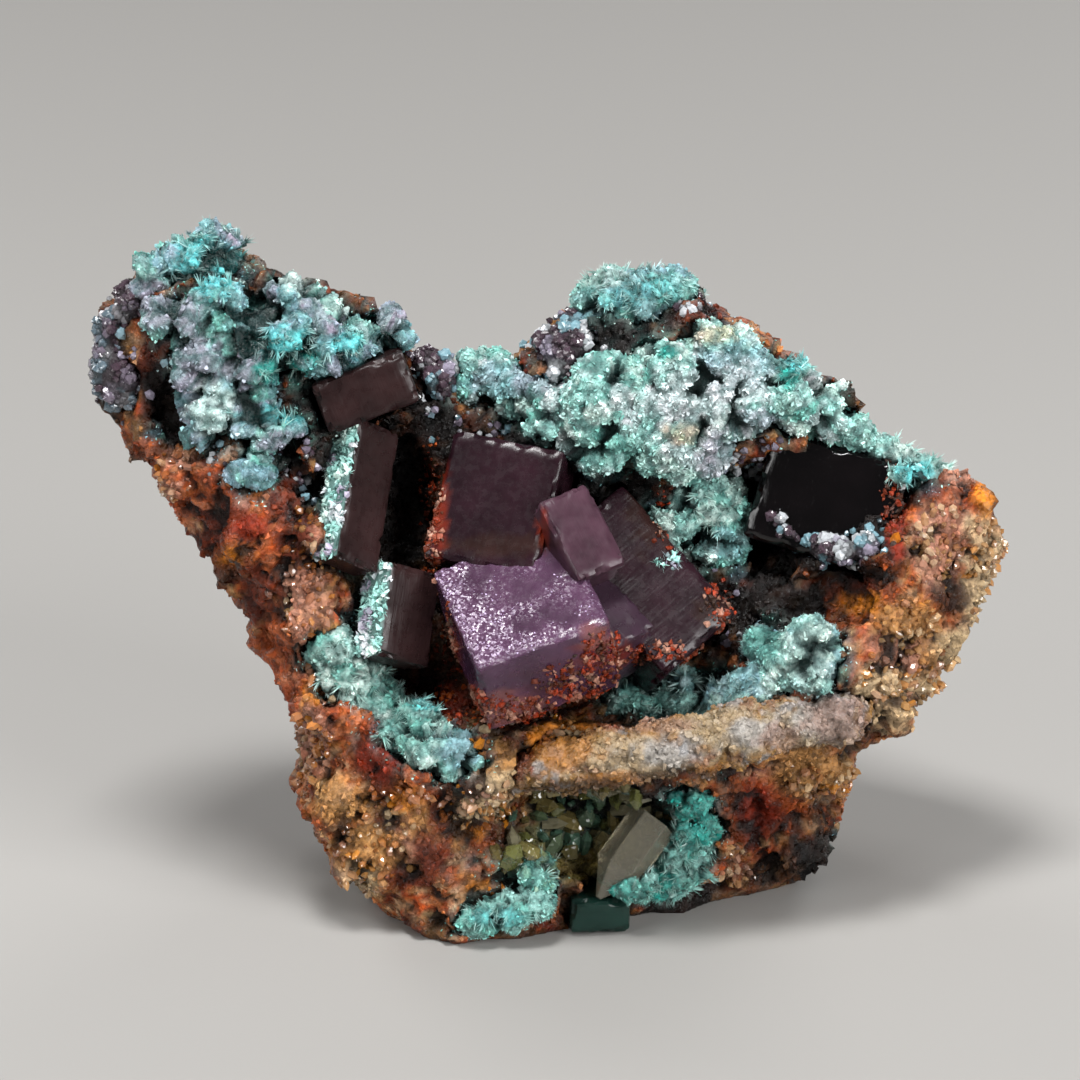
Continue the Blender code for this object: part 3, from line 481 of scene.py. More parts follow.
def noise_node(tree, grain, detail=4.0, rough=0.6, place=None):
    """A noise with that grain in millimetres."""
    made = tree.nodes.new("ShaderNodeTexNoise")
    made.inputs["Scale"].default_value = 1.0 / (grain * MM)
    made.inputs["Detail"].default_value = detail
    made.inputs["Roughness"].default_value = rough
    tree.links.new(place or place_node(tree), made.inputs["Vector"])
    return made.outputs["Fac"]


def vector_math(tree, operation, first, second, output=0):
    """One step of sums on vectors; second is a socket or three numbers."""
    made = tree.nodes.new("ShaderNodeVectorMath")
    made.operation = operation
    tree.links.new(first, made.inputs[0])
    if isinstance(second, bpy.types.NodeSocket):
        tree.links.new(second, made.inputs[1])
    else:
        made.inputs[1].default_value = second
    return made.outputs[output]


def sum_node(tree, operation, first, second, third=None):
    """One step of sums on numbers; each is a socket or a number."""
    made = tree.nodes.new("ShaderNodeMath")
    made.operation = operation
    for socket, given in zip(made.inputs, (first, second, third)):
        if isinstance(given, bpy.types.NodeSocket):
            tree.links.new(given, socket)
        elif given is not None:
            socket.default_value = given
    return made.outputs[0]


def facet_node(tree, grain, place=None):
    """Flat, tilted faces with that grain in millimetres: their height and a random colour for each."""
    place = place or place_node(tree)
    made = tree.nodes.new("ShaderNodeTexVoronoi")
    made.inputs["Scale"].default_value = 1.0 / (grain * MM)
    tree.links.new(place, made.inputs["Vector"])
    off = vector_math(tree, "SUBTRACT", place, made.outputs["Position"])
    way = vector_math(tree, "SUBTRACT", made.outputs["Color"], (0.5, 0.5, 0.5))
    height = vector_math(tree, "DOT_PRODUCT", off, way, output="Value")
    return sum_node(tree, "MULTIPLY", height, 2.0 / (grain * MM)), made.outputs["Color"]


def ramp_node(tree, value, stops):
    """Turns a value into a grey or a colour by stops of place and colour."""
    made = tree.nodes.new("ShaderNodeValToRGB")
    band = made.color_ramp
    while len(band.elements) < len(stops):
        band.elements.new(0.5)
    for element, (place, colour) in zip(band.elements, stops):
        element.position = place
        element.color = (*colour, 1.0) if isinstance(colour, tuple) else (colour, colour, colour, 1.0)
    tree.links.new(value, made.inputs["Fac"])
    return made.outputs["Color"]


def mix_node(tree, blend_type, part, first, second):
    """Mixes two colours; part is a number or a socket, and so are the colours."""
    made = tree.nodes.new("ShaderNodeMix")
    made.data_type = "RGBA"
    made.blend_type = blend_type
    for socket, given in ((made.inputs[0], part), (made.inputs[6], first), (made.inputs[7], second)):
        if isinstance(given, bpy.types.NodeSocket):
            tree.links.new(given, socket)
        elif isinstance(given, tuple):
            socket.default_value = (*given, 1.0)
        else:
            socket.default_value = given
    return made.outputs[2]


def bump(tree, shader, height, strength, deep):
    """Fine relief from a height, deep in millimetres."""
    made = tree.nodes.new("ShaderNodeBump")
    made.inputs["Strength"].default_value = strength
    made.inputs["Distance"].default_value = deep * MM
    tree.links.new(height, made.inputs["Height"])
    tree.links.new(made.outputs["Normal"], shader.inputs["Normal"])


def glow(shader, weight, deep):
    """Lets light wander that many millimetres under the surface."""
    shader.inputs["Subsurface Weight"].default_value = weight
    shader.inputs["Subsurface Radius"].default_value = (1.0, 0.9, 0.85)
    shader.inputs["Subsurface Scale"].default_value = deep * MM


def mineral(name, facet, mottle, gloss, relief, glowing=0.0, shine=0.5):
    """A mineral of glistening broken grains that takes its colour from its points."""
    finish, tree, shader = new_finish(name)
    shader.inputs["Specular IOR Level"].default_value = shine
    tint = attribute_node(tree, "tint", "Color")
    coarse, coarse_luck = facet_node(tree, facet)
    fine, fine_luck = facet_node(tree, facet * 0.38)
    patches = ramp_node(tree, noise_node(tree, facet * 2.4), [(0.34, 1.0 - mottle), (0.66, 1.0 + mottle * 0.4)])
    colour = mix_node(tree, "MULTIPLY", 1.0, tint, patches)
    each = ramp_node(tree, coarse_luck, [(0.2, 1.0 - mottle), (0.8, 1.0 + mottle * 0.5)])
    colour = mix_node(tree, "MULTIPLY", 1.0, colour, each)
    specks = ramp_node(tree, fine_luck, [(0.25, 1.0 - mottle * 0.7), (0.75, 1.0 + mottle * 0.3)])
    colour = mix_node(tree, "MULTIPLY", 1.0, colour, specks)
    tree.links.new(colour, shader.inputs["Base Color"])
    low, high = gloss
    tree.links.new(ramp_node(tree, fine_luck, [(0.3, low), (0.65, high)]), shader.inputs["Roughness"])
    grit = sum_node(tree, "MULTIPLY", noise_node(tree, facet * 0.3, detail=5.0, rough=0.7), 0.7)
    height = sum_node(tree, "MULTIPLY_ADD", fine, 0.45, sum_node(tree, "ADD", coarse, grit))
    bump(tree, shader, height, 1.0, relief)
    if glowing:
        glow(shader, glowing, 0.5)
    return finish


def needle_finish():
    """Silky needles, pale at their tips, that take their colour from where they grow."""
    finish, tree, shader = new_finish("silky needles")
    tint = attribute_node(tree, "tint", "Color")
    pale = mix_node(tree, "MIX", 0.4, tint, PALE_MINT)
    dark = mix_node(tree, "MULTIPLY", 1.0, tint, shade(120, 180, 176))
    colour = mix_node(tree, "MIX", attribute_node(tree, "tip", "Fac"), dark, pale)
    luck = ramp_node(tree, attribute_node(tree, "luck", "Fac"), [(0.0, 0.62), (1.0, 1.12)])
    tree.links.new(mix_node(tree, "MULTIPLY", 1.0, colour, luck), shader.inputs["Base Color"])
    shader.inputs["Roughness"].default_value = 0.36
    shader.inputs["Specular IOR Level"].default_value = 0.7
    return finish


def granule_finish(name, low, high, roughness):
    """Small grown granules, each a little lighter or darker than the next."""
    finish, tree, shader = new_finish(name)
    tint = attribute_node(tree, "tint", "Color")
    luck = ramp_node(tree, attribute_node(tree, "luck", "Fac"), [(0.0, low), (1.0, high)])
    colour = mix_node(tree, "MULTIPLY", 1.0, tint, luck)
    tree.links.new(colour, shader.inputs["Base Color"])
    shader.inputs["Roughness"].default_value = roughness
    return finish


def bead_finish(name, low, high, roughness, clear, bending):
    """Small beads or crystals, partly clear, each lighter or darker than the next."""
    finish, tree, shader = new_finish(name)
    tint = attribute_node(tree, "tint", "Color")
    luck = ramp_node(tree, attribute_node(tree, "luck", "Fac"), [(0.0, low), (1.0, high)])
    colour = mix_node(tree, "MULTIPLY", 1.0, tint, luck)
    tree.links.new(colour, shader.inputs["Base Color"])
    shader.inputs["Roughness"].default_value = roughness
    shader.inputs["Transmission Weight"].default_value = clear
    shader.inputs["IOR"].default_value = bending
    height, _ = facet_node(tree, 0.25)
    bump(tree, shader, height, 1.0, 0.05)
    return finish


def fluorite_finish(name):
    """Fluorite: see-through by transmission, darkened by what it absorbs, with square growth marks."""
    colour, absorbed, density, roughness, clear = FLUORITE_FINISHES[name]
    finish, tree, shader = new_finish(f"fluorite, {name}")
    own = vector_math(tree, "SCALE", attribute_node(tree, "own place", "Vector"), (0.0, 0.0, 0.0))
    own.node.inputs["Scale"].default_value = MM
    clouding = ramp_node(tree, noise_node(tree, 4.5, place=own), [(0.34, 0.5), (0.66, 1.15)])
    tone = mix_node(tree, "MULTIPLY", 1.0, attribute_node(tree, "tint", "Color"), clouding)

    marks = tree.nodes.new("ShaderNodeTexVoronoi")
    marks.distance = "CHEBYCHEV"
    marks.inputs["Scale"].default_value = 1.0 / (1.3 * MM)
    tree.links.new(own, marks.inputs["Vector"])
    lines = vector_math(tree, "MULTIPLY", own, (5.0, 0.35, 1.0))
    lines = noise_node(tree, 1.1, detail=5.0, place=lines)
    frost = attribute_node(tree, "frost", "Fac")
    sparkle, sparkle_luck = facet_node(tree, 0.16, place=own)
    # the frost's silvery colour, its lightest facets painted glints
    silver_and_glints = ramp_node(tree, sparkle_luck, [(0.36, shade(82, 58, 80)), (0.62, shade(122, 100, 122)),
                                            (0.86, shade(196, 180, 202))])
    tone = mix_node(tree, "MIX", sum_node(tree, "MULTIPLY", frost, 0.85), tone, silver_and_glints)
    tree.links.new(tone, shader.inputs["Base Color"])

    shader.inputs["Specular IOR Level"].default_value = 0.5 if name in ("frosted", "black") else 0.18
    worn = ramp_node(tree, noise_node(tree, 0.6, place=own), [(0.38, roughness), (0.7, min(1.0, roughness * 1.5))])
    worn = mix_node(tree, "MIX", sum_node(tree, "MULTIPLY", frost, 0.6), worn, (0.3, 0.3, 0.3))
    tree.links.new(worn, shader.inputs["Roughness"])
    through = sum_node(tree, "MULTIPLY_ADD", frost, -0.8 * clear, clear)
    tree.links.new(through, shader.inputs["Transmission Weight"])
    shader.inputs["IOR"].default_value = 1.434
    height = sum_node(tree, "MULTIPLY_ADD", lines, 0.4, sum_node(tree, "MULTIPLY", marks.outputs["Distance"], 0.1))
    height = sum_node(tree, "MULTIPLY_ADD", sum_node(tree, "MULTIPLY", sparkle, frost), 1.2, height)
    bump(tree, shader, height, 1.0, 0.06)

    absorb = tree.nodes.new("ShaderNodeVolumeAbsorption")
    absorb.inputs["Color"].default_value = (*absorbed, 1.0)
    absorb.inputs["Density"].default_value = density
    tree.links.new(absorb.outputs["Volume"], tree.nodes["Material Output"].inputs["Volume"])
    return finish


def clear_quartz_finish():
    """Clear quartz, a little smoky and olive."""
    finish, tree, shader = new_finish("clear quartz")
    shader.inputs["Base Color"].default_value = (*shade(186, 180, 160), 1.0)
    shader.inputs["Transmission Weight"].default_value = 0.85
    shader.inputs["IOR"].default_value = 1.544
    shader.inputs["Roughness"].default_value = 0.12
    bump(tree, shader, noise_node(tree, 0.6, detail=6.0), 0.3, 0.08)
    absorb = tree.nodes.new("ShaderNodeVolumeAbsorption")
    absorb.inputs["Color"].default_value = (*shade(200, 184, 140), 1.0)
    absorb.inputs["Density"].default_value = 110.0
    tree.links.new(absorb.outputs["Volume"], tree.nodes["Material Output"].inputs["Volume"])
    return finish


def angular_grain(name, corners):
    """A broken grain with flat faces."""
    shape = bmesh.new()
    points = []
    for _ in range(corners):
        way = Vector([chance.gauss(0.0, 1.0) for _ in range(3)]).normalized()
        points.append(shape.verts.new(way * chance.uniform(0.75, 1.0)))
    done = bmesh.ops.convex_hull(shape, input=points)
    loose = [item for item in done["geom_interior"] if isinstance(item, bmesh.types.BMVert)]
    bmesh.ops.delete(shape, geom=loose, context="VERTS")
    return new_object(name, shape)


def round_grain(name, fineness, uneven):
    """A rounded grain or bead, a little uneven."""
    shape = bmesh.new()
    bmesh.ops.create_icosphere(shape, subdivisions=fineness, radius=1.0)
    shift = Vector([chance.uniform(0.0, 50.0) for _ in range(3)])
    for vertex in shape.verts:
        vertex.co *= 1.0 + uneven * noise.noise(vertex.co * 1.6 + shift)
    return new_object(name, shape)


def small_point(name):
    """A stubby six-sided crystal with a pointed end."""
    shape = bmesh.new()
    points = []
    wide = chance.uniform(0.35, 0.6)
    tip = Vector((chance.uniform(-0.15, 0.15), chance.uniform(-0.15, 0.15), 1.0))
    for i in range(6):
        angle = math.radians(60.0 * i)
        x, y = wide * math.cos(angle), wide * math.sin(angle) * chance.uniform(0.8, 1.0)
        points.append(shape.verts.new((x, y, -0.4)))
        points.append(shape.verts.new((x, y, chance.uniform(0.35, 0.6))))
    points.append(shape.verts.new(tip))
    bmesh.ops.convex_hull(shape, input=points)
    return new_object(name, shape)


def needle_spray(name, needles, spread, width):
    """A tuft of flat needles, one unit long, that fan out from one root."""
    shape = bmesh.new()
    tip_layer = shape.verts.layers.float.new("tip")
    for _ in range(needles):
        lean = chance.uniform(0.0, spread)
        turn = chance.uniform(0.0, math.tau)
        way = Vector((math.sin(lean) * math.cos(turn), math.sin(lean) * math.sin(turn), math.cos(lean)))
        side = way.orthogonal().normalized()
        side.rotate(Matrix.Rotation(chance.uniform(0.0, math.tau), 3, way))
        flat = way.cross(side)
        half = width * chance.uniform(0.7, 1.2)
        corners = [
            shape.verts.new(side * half),
            shape.verts.new(side * -half),
            shape.verts.new(flat * half * 0.5),
        ]
        tip = shape.verts.new(way * chance.uniform(0.6, 1.0))
        tip[tip_layer] = 1.0
        shape.faces.new(corners)
        for i in range(3):
            shape.faces.new((corners[i], tip, corners[(i + 1) % 3]))
    bmesh.ops.recalc_face_normals(shape, faces=shape.faces)
    return new_object(name, shape)


def form_box(name, made):
    """A collection, out of the scene, that holds the forms of one kind."""
    holder = bpy.data.collections.new(name)
    for thing in made:
        holder.objects.link(thing)
        bpy.context.scene.collection.objects.unlink(thing)
    return holder


def growth_tree():
    """Grows small forms over a skin: how close, how big and how tilted are its inputs."""
    tree = bpy.data.node_groups.new("grow over a skin", "GeometryNodeTree")
    tree.is_modifier = True
    face = tree.interface
    face.new_socket("Geometry", in_out="INPUT", socket_type="NodeSocketGeometry")
    face.new_socket("Forms", in_out="INPUT", socket_type="NodeSocketCollection")
    for name in ("Apart", "Smallest", "Biggest", "Tilt", "Sunk"):
        face.new_socket(name, in_out="INPUT", socket_type="NodeSocketFloat")
    face.new_socket("Seed", in_out="INPUT", socket_type="NodeSocketInt")
    face.new_socket("Finish", in_out="INPUT", socket_type="NodeSocketMaterial")
    face.new_socket("Geometry", in_out="OUTPUT", socket_type="NodeSocketGeometry")
    add = tree.nodes.new
    link = tree.links.new
    given = add("NodeGroupInput")
    out = add("NodeGroupOutput")

    where = add("GeometryNodeInputNamedAttribute")
    where.data_type = "FLOAT"
    where.inputs["Name"].default_value = "where"
    spread = add("GeometryNodeDistributePointsOnFaces")
    spread.distribute_method = "POISSON"
    link(given.outputs["Geometry"], spread.inputs["Mesh"])
    link(given.outputs["Apart"], spread.inputs["Distance Min"])
    link(where.outputs["Attribute"], spread.inputs["Density Factor"])
    link(given.outputs["Seed"], spread.inputs["Seed"])
    spread.inputs["Density Max"].default_value = 4.0e7

    luck = add("FunctionNodeRandomValue")
    luck.data_type = "FLOAT"
    link(given.outputs["Seed"], luck.inputs["Seed"])
    mark = add("GeometryNodeStoreNamedAttribute")
    mark.data_type = "FLOAT"
    mark.domain = "POINT"
    mark.inputs["Name"].default_value = "luck"
    link(spread.outputs["Points"], mark.inputs["Geometry"])
    link(luck.outputs[1], mark.inputs["Value"])

    sink = add("ShaderNodeVectorMath")
    sink.operation = "SCALE"
    link(spread.outputs["Normal"], sink.inputs[0])
    link(given.outputs["Sunk"], sink.inputs["Scale"])
    place = add("GeometryNodeSetPosition")
    link(mark.outputs["Geometry"], place.inputs["Geometry"])
    link(sink.outputs["Vector"], place.inputs["Offset"])

    size = add("FunctionNodeRandomValue")
    size.data_type = "FLOAT"
    link(given.outputs["Smallest"], size.inputs[2])
    link(given.outputs["Biggest"], size.inputs[3])
    link(given.outputs["Seed"], size.inputs["Seed"])

    minus = add("ShaderNodeMath")
    minus.operation = "MULTIPLY"
    minus.inputs[1].default_value = -1.0
    link(given.outputs["Tilt"], minus.inputs[0])
    least = add("ShaderNodeCombineXYZ")
    most = add("ShaderNodeCombineXYZ")
    for axis in ("X", "Y"):
        link(minus.outputs[0], least.inputs[axis])
        link(given.outputs["Tilt"], most.inputs[axis])
    least.inputs["Z"].default_value = -math.pi
    most.inputs["Z"].default_value = math.pi
    tilt = add("FunctionNodeRandomValue")
    tilt.data_type = "FLOAT_VECTOR"
    link(least.outputs[0], tilt.inputs[0])
    link(most.outputs[0], tilt.inputs[1])
    link(given.outputs["Seed"], tilt.inputs["Seed"])
    turn = add("FunctionNodeRotateRotation")
    turn.rotation_space = "LOCAL"
    link(spread.outputs["Rotation"], turn.inputs["Rotation"])
    link(tilt.outputs[0], turn.inputs["Rotate By"])

    forms = add("GeometryNodeCollectionInfo")
    forms.inputs["Separate Children"].default_value = True
    forms.inputs["Reset Children"].default_value = True
    link(given.outputs["Forms"], forms.inputs["Collection"])
    grow = add("GeometryNodeInstanceOnPoints")
    grow.inputs["Pick Instance"].default_value = True
    link(place.outputs["Geometry"], grow.inputs["Points"])
    link(forms.outputs["Instances"], grow.inputs["Instance"])
    link(turn.outputs["Rotation"], grow.inputs["Rotation"])
    link(size.outputs[1], grow.inputs["Scale"])
    real = add("GeometryNodeRealizeInstances")
    link(grow.outputs["Instances"], real.inputs["Geometry"])
    dress = add("GeometryNodeSetMaterial")
    link(real.outputs["Geometry"], dress.inputs["Geometry"])
    link(given.outputs["Finish"], dress.inputs["Material"])
    link(dress.outputs["Geometry"], out.inputs["Geometry"])
    return tree


growth = growth_tree()


def grown(name, skin, where, colours, forms, finish, apart, sizes, seed, tilt=0.8, sunk=0.05, smooth=False):
    """A new piece of forms grown over the skin where it says, in its colours; sizes are in millimetres."""
    made = bpy.data.objects.new(name, skin.data.copy())
    bpy.context.scene.collection.objects.link(made)
    made.data.materials.clear()
    keep_number(made, "where", np.clip(where, 0.0, 1.0))
    keep_tint(made, colours)
    grow = made.modifiers.new("grow", "NODES")
    grow.node_group = growth
    inputs = {
        "Forms": forms, "Apart": apart * MM, "Smallest": sizes[0] * MM, "Biggest": sizes[1] * MM, "Tilt": tilt,
        "Sunk": -sunk * MM, "Seed": seed, "Finish": finish,
    }
    for item in growth.interface.items_tree:
        if item.in_out == "INPUT" and item.name in inputs:
            grow[item.identifier] = inputs[item.name]
    settle(made)
    made.data.polygons.foreach_set("use_smooth", [smooth] * len(made.data.polygons))
    made.data.attributes.remove(made.data.attributes["where"])
    return made


def joined(things, name):
    """One object of all the given ones."""
    for thing in bpy.context.selected_objects:
        thing.select_set(False)
    for thing in things:
        thing.select_set(True)
    bpy.context.view_layer.objects.active = things[0]
    bpy.ops.object.join()
    things[0].name = name
    return things[0]


def crystal(face_middle, sizes, turns, name, look, crusted):
    """One cube or plate of fluorite with worn edges; crusted plates are overgrown on their left side."""
    tilt, swing, spin = (math.radians(angle) for angle in turns)
    turn = Matrix.Rotation(swing, 3, "Y") @ Matrix.Rotation(-tilt, 3, "X") @ Matrix.Rotation(spin, 3, "Z")
    turn = VIEW_BASIS @ turn
    centre = seen(*face_middle) - turn @ Vector((0.0, 0.0, sizes[2] / 2 * MM))
    shape = bmesh.new()
    bmesh.ops.create_cube(shape, size=1.0)
    cuts = round(max(sizes) / CRYSTAL_STEP)
    bmesh.ops.subdivide_edges(shape, edges=shape.edges[:], cuts=cuts, use_grid_fill=True)
    made = new_object(name, shape)

    half = np.array(sizes) / 2.0
    points = points_of(made)[0] * np.array(sizes)
    inset = half - np.abs(points)
    edge = np.sort(inset, axis=1)[:, 1]
    wear = smoothstep(0.0, 0.35, cloud(points * MM, 1.1, 4.0)) * smoothstep(0.7, 0.0, edge) * 0.2
    wear += smoothstep(0.3, 0.0, edge) * EDGE_ROUND
    moved = points - np.sign(points) * np.where(inset < 0.7, wear[:, None], 0.0)
    moved += 0.02 * broken(points * MM, 1.9, 2.0)[:, None] * np.sign(points) * (inset < 0.01)

    layer = made.data.attributes.new("own place", "FLOAT_VECTOR", "POINT")
    layer.data.foreach_set("vector", points.ravel())
    on_top = (inset[:, 2] < 0.01) * 1.0
    # frost on the top face, heaviest towards its lower left corner and left edge, where its light colour is also a
    # painted highlight
    corner = smoothstep(9.0, 0.0, np.hypot(points[:, 0] + half[0], points[:, 1] + half[1]))
    left_edge = smoothstep(3.6, 0.0, points[:, 0] + half[0])
    bright = np.maximum(corner, left_edge)
    frost = on_top * (0.3 + 0.7 * bright) * smoothstep(-0.4, 0.3, cloud(points * MM, 2.0, 8.0) + bright * 0.6)
    keep_number(made, "frost", frost if look == "frosted" else np.zeros(len(points)))
    left = (inset[:, 0] < 0.01) * (points[:, 0] < 0.0) * 1.0
    keep_number(made, "mint", left if crusted else np.zeros(len(points)))

    placed = moved * MM @ np.array(turn.transposed()) + np.array(centre)
    move_points(made, placed)
    colours = np.tile(np.array(FLUORITE_FINISHES[look][0]), (len(points), 1))
    if look != "black":
        colours = stained(colours, in_view(placed), FLUORITE_STAINS, cloud(placed, 1.0, 5.0))
    if crusted:
        colours = blend(colours, np.array(MINT) * 0.5, left * 0.8)
    keep_tint(made, colours)
    made.data.polygons.foreach_set("use_smooth", [True] * len(made.data.polygons))
    made.data.set_sharp_from_angle(angle=math.radians(32.0))
    return made


def lay_floor():
    """A plain pale floor."""
    shape = bmesh.new()
    bmesh.ops.create_grid(shape, x_segments=1, y_segments=1, size=2.0)
    floor = new_object("floor", shape)
    finish, tree, shader = new_finish("pale floor")
    shader.inputs["Base Color"].default_value = (*shade(138, 136, 133), 1.0)
    shader.inputs["Roughness"].default_value = 0.7
    floor.data.materials.append(finish)


def soft_light(name, place, size, power):
    """A square studio light that faces the specimen; place is in millimetres from its foot."""
    lamp = bpy.data.lights.new(name, "AREA")
    lamp.size = size * MM
    lamp.energy = power
    made = bpy.data.objects.new(name, lamp)
    made.location = Vector(place) * MM
    towards = Vector((0.0, 0.0, 25.0 * MM)) - made.location
    made.rotation_euler = towards.to_track_quat("-Z", "Y").to_euler()
    bpy.context.scene.collection.objects.link(made)


def set_camera():
    """The camera at the photograph's viewing angle."""
    camera = bpy.data.objects.new("camera", bpy.data.cameras.new("camera"))
    camera.data.lens = LENS
    camera.data.sensor_width = SENSOR
    camera.location = (VIEW_MIDDLE + OUTWARD * (VIEW_WIDTH * LENS / SENSOR)) * MM
    camera.rotation_euler = (math.radians(90.0) - VIEW_DROP, 0.0, 0.0)
    camera.data.clip_start = 0.01
    bpy.context.scene.collection.objects.link(camera)
    bpy.context.scene.camera = camera


def light_room():
    """Plain soft studio light."""
    world = bpy.data.worlds.new("studio")
    bpy.context.scene.world = world
    world.use_nodes = True
    world.node_tree.nodes["Background"].inputs["Color"].default_value = (0.86, 0.86, 0.88, 1.0)
    world.node_tree.nodes["Background"].inputs["Strength"].default_value = 0.14
    soft_light("key", (-50, -105, 390), 100, 2.1)
    soft_light("right fill", (420, -400, 240), 300, 4.8)
    soft_light("left fill", (-450, -370, 250), 300, 1.9)
    soft_light("right back fill", (330, 430, 300), 300, 1.8)
    soft_light("left back fill", (-380, 400, 300), 300, 1.8)
    bpy.context.scene.view_settings.view_transform = "Standard"


def rock_tints_and_shade(points, open_sky, relief):
    """The rock's colour at each point, with painted shade in its hollows and low places."""
    view = in_view(points)
    wobble = cloud(points, 1.6, 3.0)
    _, luck = cells(points, 1.5, 21.0)
    _, fine_luck = cells(points, 0.7, 33.0)
    colours = by_luck([LIMONITE, ORANGE_RUST, TAN, LIMONITE, PINK_QUARTZ, DEEP_RUST, LIMONITE], luck)
    colours = blend(colours, by_luck([LIMONITE, CREAM, ORANGE_RUST, TAN, DEEP_RUST], fine_luck), np.full(len(points), 0.4))
    colours = blend(colours, DARK_BROWN, smoothstep(0.0, 0.35, cloud(points, 6.0, 17.0)) * 0.6)
    front = stained(colours, view, ROCK_STAINS, wobble)
    behind = smoothstep(6.0, 11.0, points[:, 1] / MM)
    colours = front * (1.0 - behind[:, None]) + colours * behind[:, None]
    # painted shade: darker where walls round a point block the light, and in the low places of the relief
    lit = smoothstep(0.06, 0.75, open_sky) * (0.35 + 0.65 * smoothstep(-0.9, 0.1, relief))
    return colours ** RICHNESS * (0.08 + 0.92 * lit[:, None])


def make_rock(forms, finishes):
    """The rusty rock, broken into flat-faced grains, with dust, beads and crumbs of what grew on it."""
    rock = fine_copy("matrix_rock", "rock", ROCK_VOXEL)
    points, normals = points_of(rock)
    above = smoothstep(0.2, 1.2, points[:, 2] / MM)
    relief = 0.62 * broken(points, 3.4, 5.0) + 0.4 * broken(points, 1.5, 15.0) + 0.14 * cloud(points, 0.7, 9.0)
    relief -= 0.8 * smoothstep(0.25, 0.6, cloud(points, 2.6, 62.0))
    press(rock, relief * above)
    points, normals = points_of(rock)
    view = in_view(points)
    open_sky = openness(points, normals, tree_of(frame["nodes"]))
    # the rock's colours with their painted shade; the grains and small quartz crystals below take them too
    colours = rock_tints_and_shade(points, open_sky, relief)
    crusts = near_to(points, tree_of([name for name in frame["nodes"] if name.startswith("aurichalcite_")]), 1.6)
    beads = near_to(points, tree_of([name for name in frame["nodes"] if name.startswith("hemimorphite_")]), 1.4)
    ragged = cloud(points, 1.1, 50.0)
    front = smoothstep(9.0, 3.0, points[:, 1] / MM) * above
    mint = np.maximum(crusts * 1.2, patch(view, MINT_DUST, ragged) * 0.8) * smoothstep(-0.25, 0.25, ragged) * front
    pearl = np.maximum(beads, patch(view, BEAD_DUST, ragged) * 0.7) * smoothstep(-0.1, 0.35, cloud(points, 1.4, 70.0)) * front
    _, luck = cells(points, 1.3, 80.0)
    # painted shade on the mint dust: deep teal where walls block the light
    mint_colours = blend(by_luck([MINT, SEA_GREEN, PALE_MINT, GREY_BLUE], luck), SHADE_TEAL, smoothstep(0.6, 0.1, open_sky) * 0.8)
    keep_tint(rock, blend(colours, mint_colours * 0.5, np.clip(mint, 0.0, 1.0) * 0.7))
    rock.data.materials.append(mineral("limonite", 0.62, 0.45, (0.14, 0.6), 0.16, shine=0.25))
    made = [(rock, ["matrix_rock"], "limonite")]

    facing = 0.25 + 0.75 * smoothstep(-0.2, 0.3, -normals[:, 1])
    where = above * facing * smoothstep(-0.2, 0.2, cloud(points, 2.2, 41.0)) * smoothstep(0.1, 0.5, open_sky)
    grains = grown("rock_grains", rock, where, colours * 1.15, forms["grains"], finishes["grains"], 0.5, (0.12, 0.4), 3, tilt=1.4)
    made.append((grains, [], "limonite"))
    dust = grown("rock_mint_dust", rock, mint, mint_colours, forms["granules"], finishes["granules"], 0.22, (0.07, 0.2), 4)
    made.append((dust, [], "aurichalcite"))
    pearls = by_luck([LAVENDER, DARK_MAUVE, GREY_BLUE, MILK], luck)
    beads = grown("rock_beads", rock, pearl, pearls, forms["beads"], finishes["beads"], 0.42, (0.16, 0.44), 6, sunk=0.0)
    made.append((beads, [], "hemimorphite"))
    red = patch(view, RED_CRUMBS, ragged)
    red_colours = by_luck([RED_RUST, DEEP_RUST, ORANGE_RUST, DEEP_RUST, DARK_BROWN], luck)
    crumbs = grown("rock_red_crumbs", rock, red * front, red_colours, forms["grains"], finishes["grains"], 0.4, (0.12, 0.4), 8, tilt=1.4)
    made.append((crumbs, [], "limonite"))
    olive = patch(view, OLIVE_CRYSTALS, ragged) * front
    olive_colours = by_luck([OLIVE, shade(138, 124, 76), shade(96, 134, 112), shade(150, 144, 116)], luck) * 0.65
    olive_points = grown("recess_crystals", rock, olive, olive_colours, forms["crystals"], finishes["crystals"], 1.1, (0.7, 1.7), 9)
    made.append((olive_points, [], "clear_quartz"))
    quartz = patch(view, QUARTZ_CRYSTALS, ragged) * front
    quartz_colours = blend(by_luck([PINK_QUARTZ, CREAM, TAN, LIMONITE, AMBER], luck), colours, np.full(len(points), 0.45))
    quartz_points = grown("rock_quartz", rock, quartz, quartz_colours, forms["crystals"], finishes["crystals"], 0.6, (0.3, 0.75), 10)
    made.append((quartz_points, [], "quartz"))
    return made


def make_ledge(forms, finishes):
    """The pale quartz ledge, granular and glistening."""
    ledge = fine_copy("quartz_ledge", "ledge", LEDGE_VOXEL)
    points, _ = points_of(ledge)
    press(ledge, CLOSE_GAP * 0.7 + 0.3 * broken(points, 1.5, 2.0) + 0.2 * broken(points, 0.7, 3.0))
    points, normals = points_of(ledge)
    _, luck = cells(points, 0.8, 21.0)
    colours = by_luck([TAN, CREAM, TAN, PINK_QUARTZ, MILK, OCHRE], luck)
    colours = blend(colours, TAN, np.full(len(points), 0.4))
    colours = stained(colours, in_view(points), LEDGE_STAINS, cloud(points, 1.2, 4.0)) * 0.5
    keep_tint(ledge, colours)
    ledge.data.materials.append(mineral("quartz", 0.5, 0.25, (0.1, 0.5), 0.13, glowing=0.2))
    grains = grown(
        "ledge_grains", ledge, np.ones(len(points)), colours * 1.1, forms["grains"], finishes["quartz grains"],
        0.5, (0.12, 0.42), 5, tilt=1.4,
    )
    return [(ledge, ["quartz_ledge"], "quartz"), (grains, [], "quartz")]


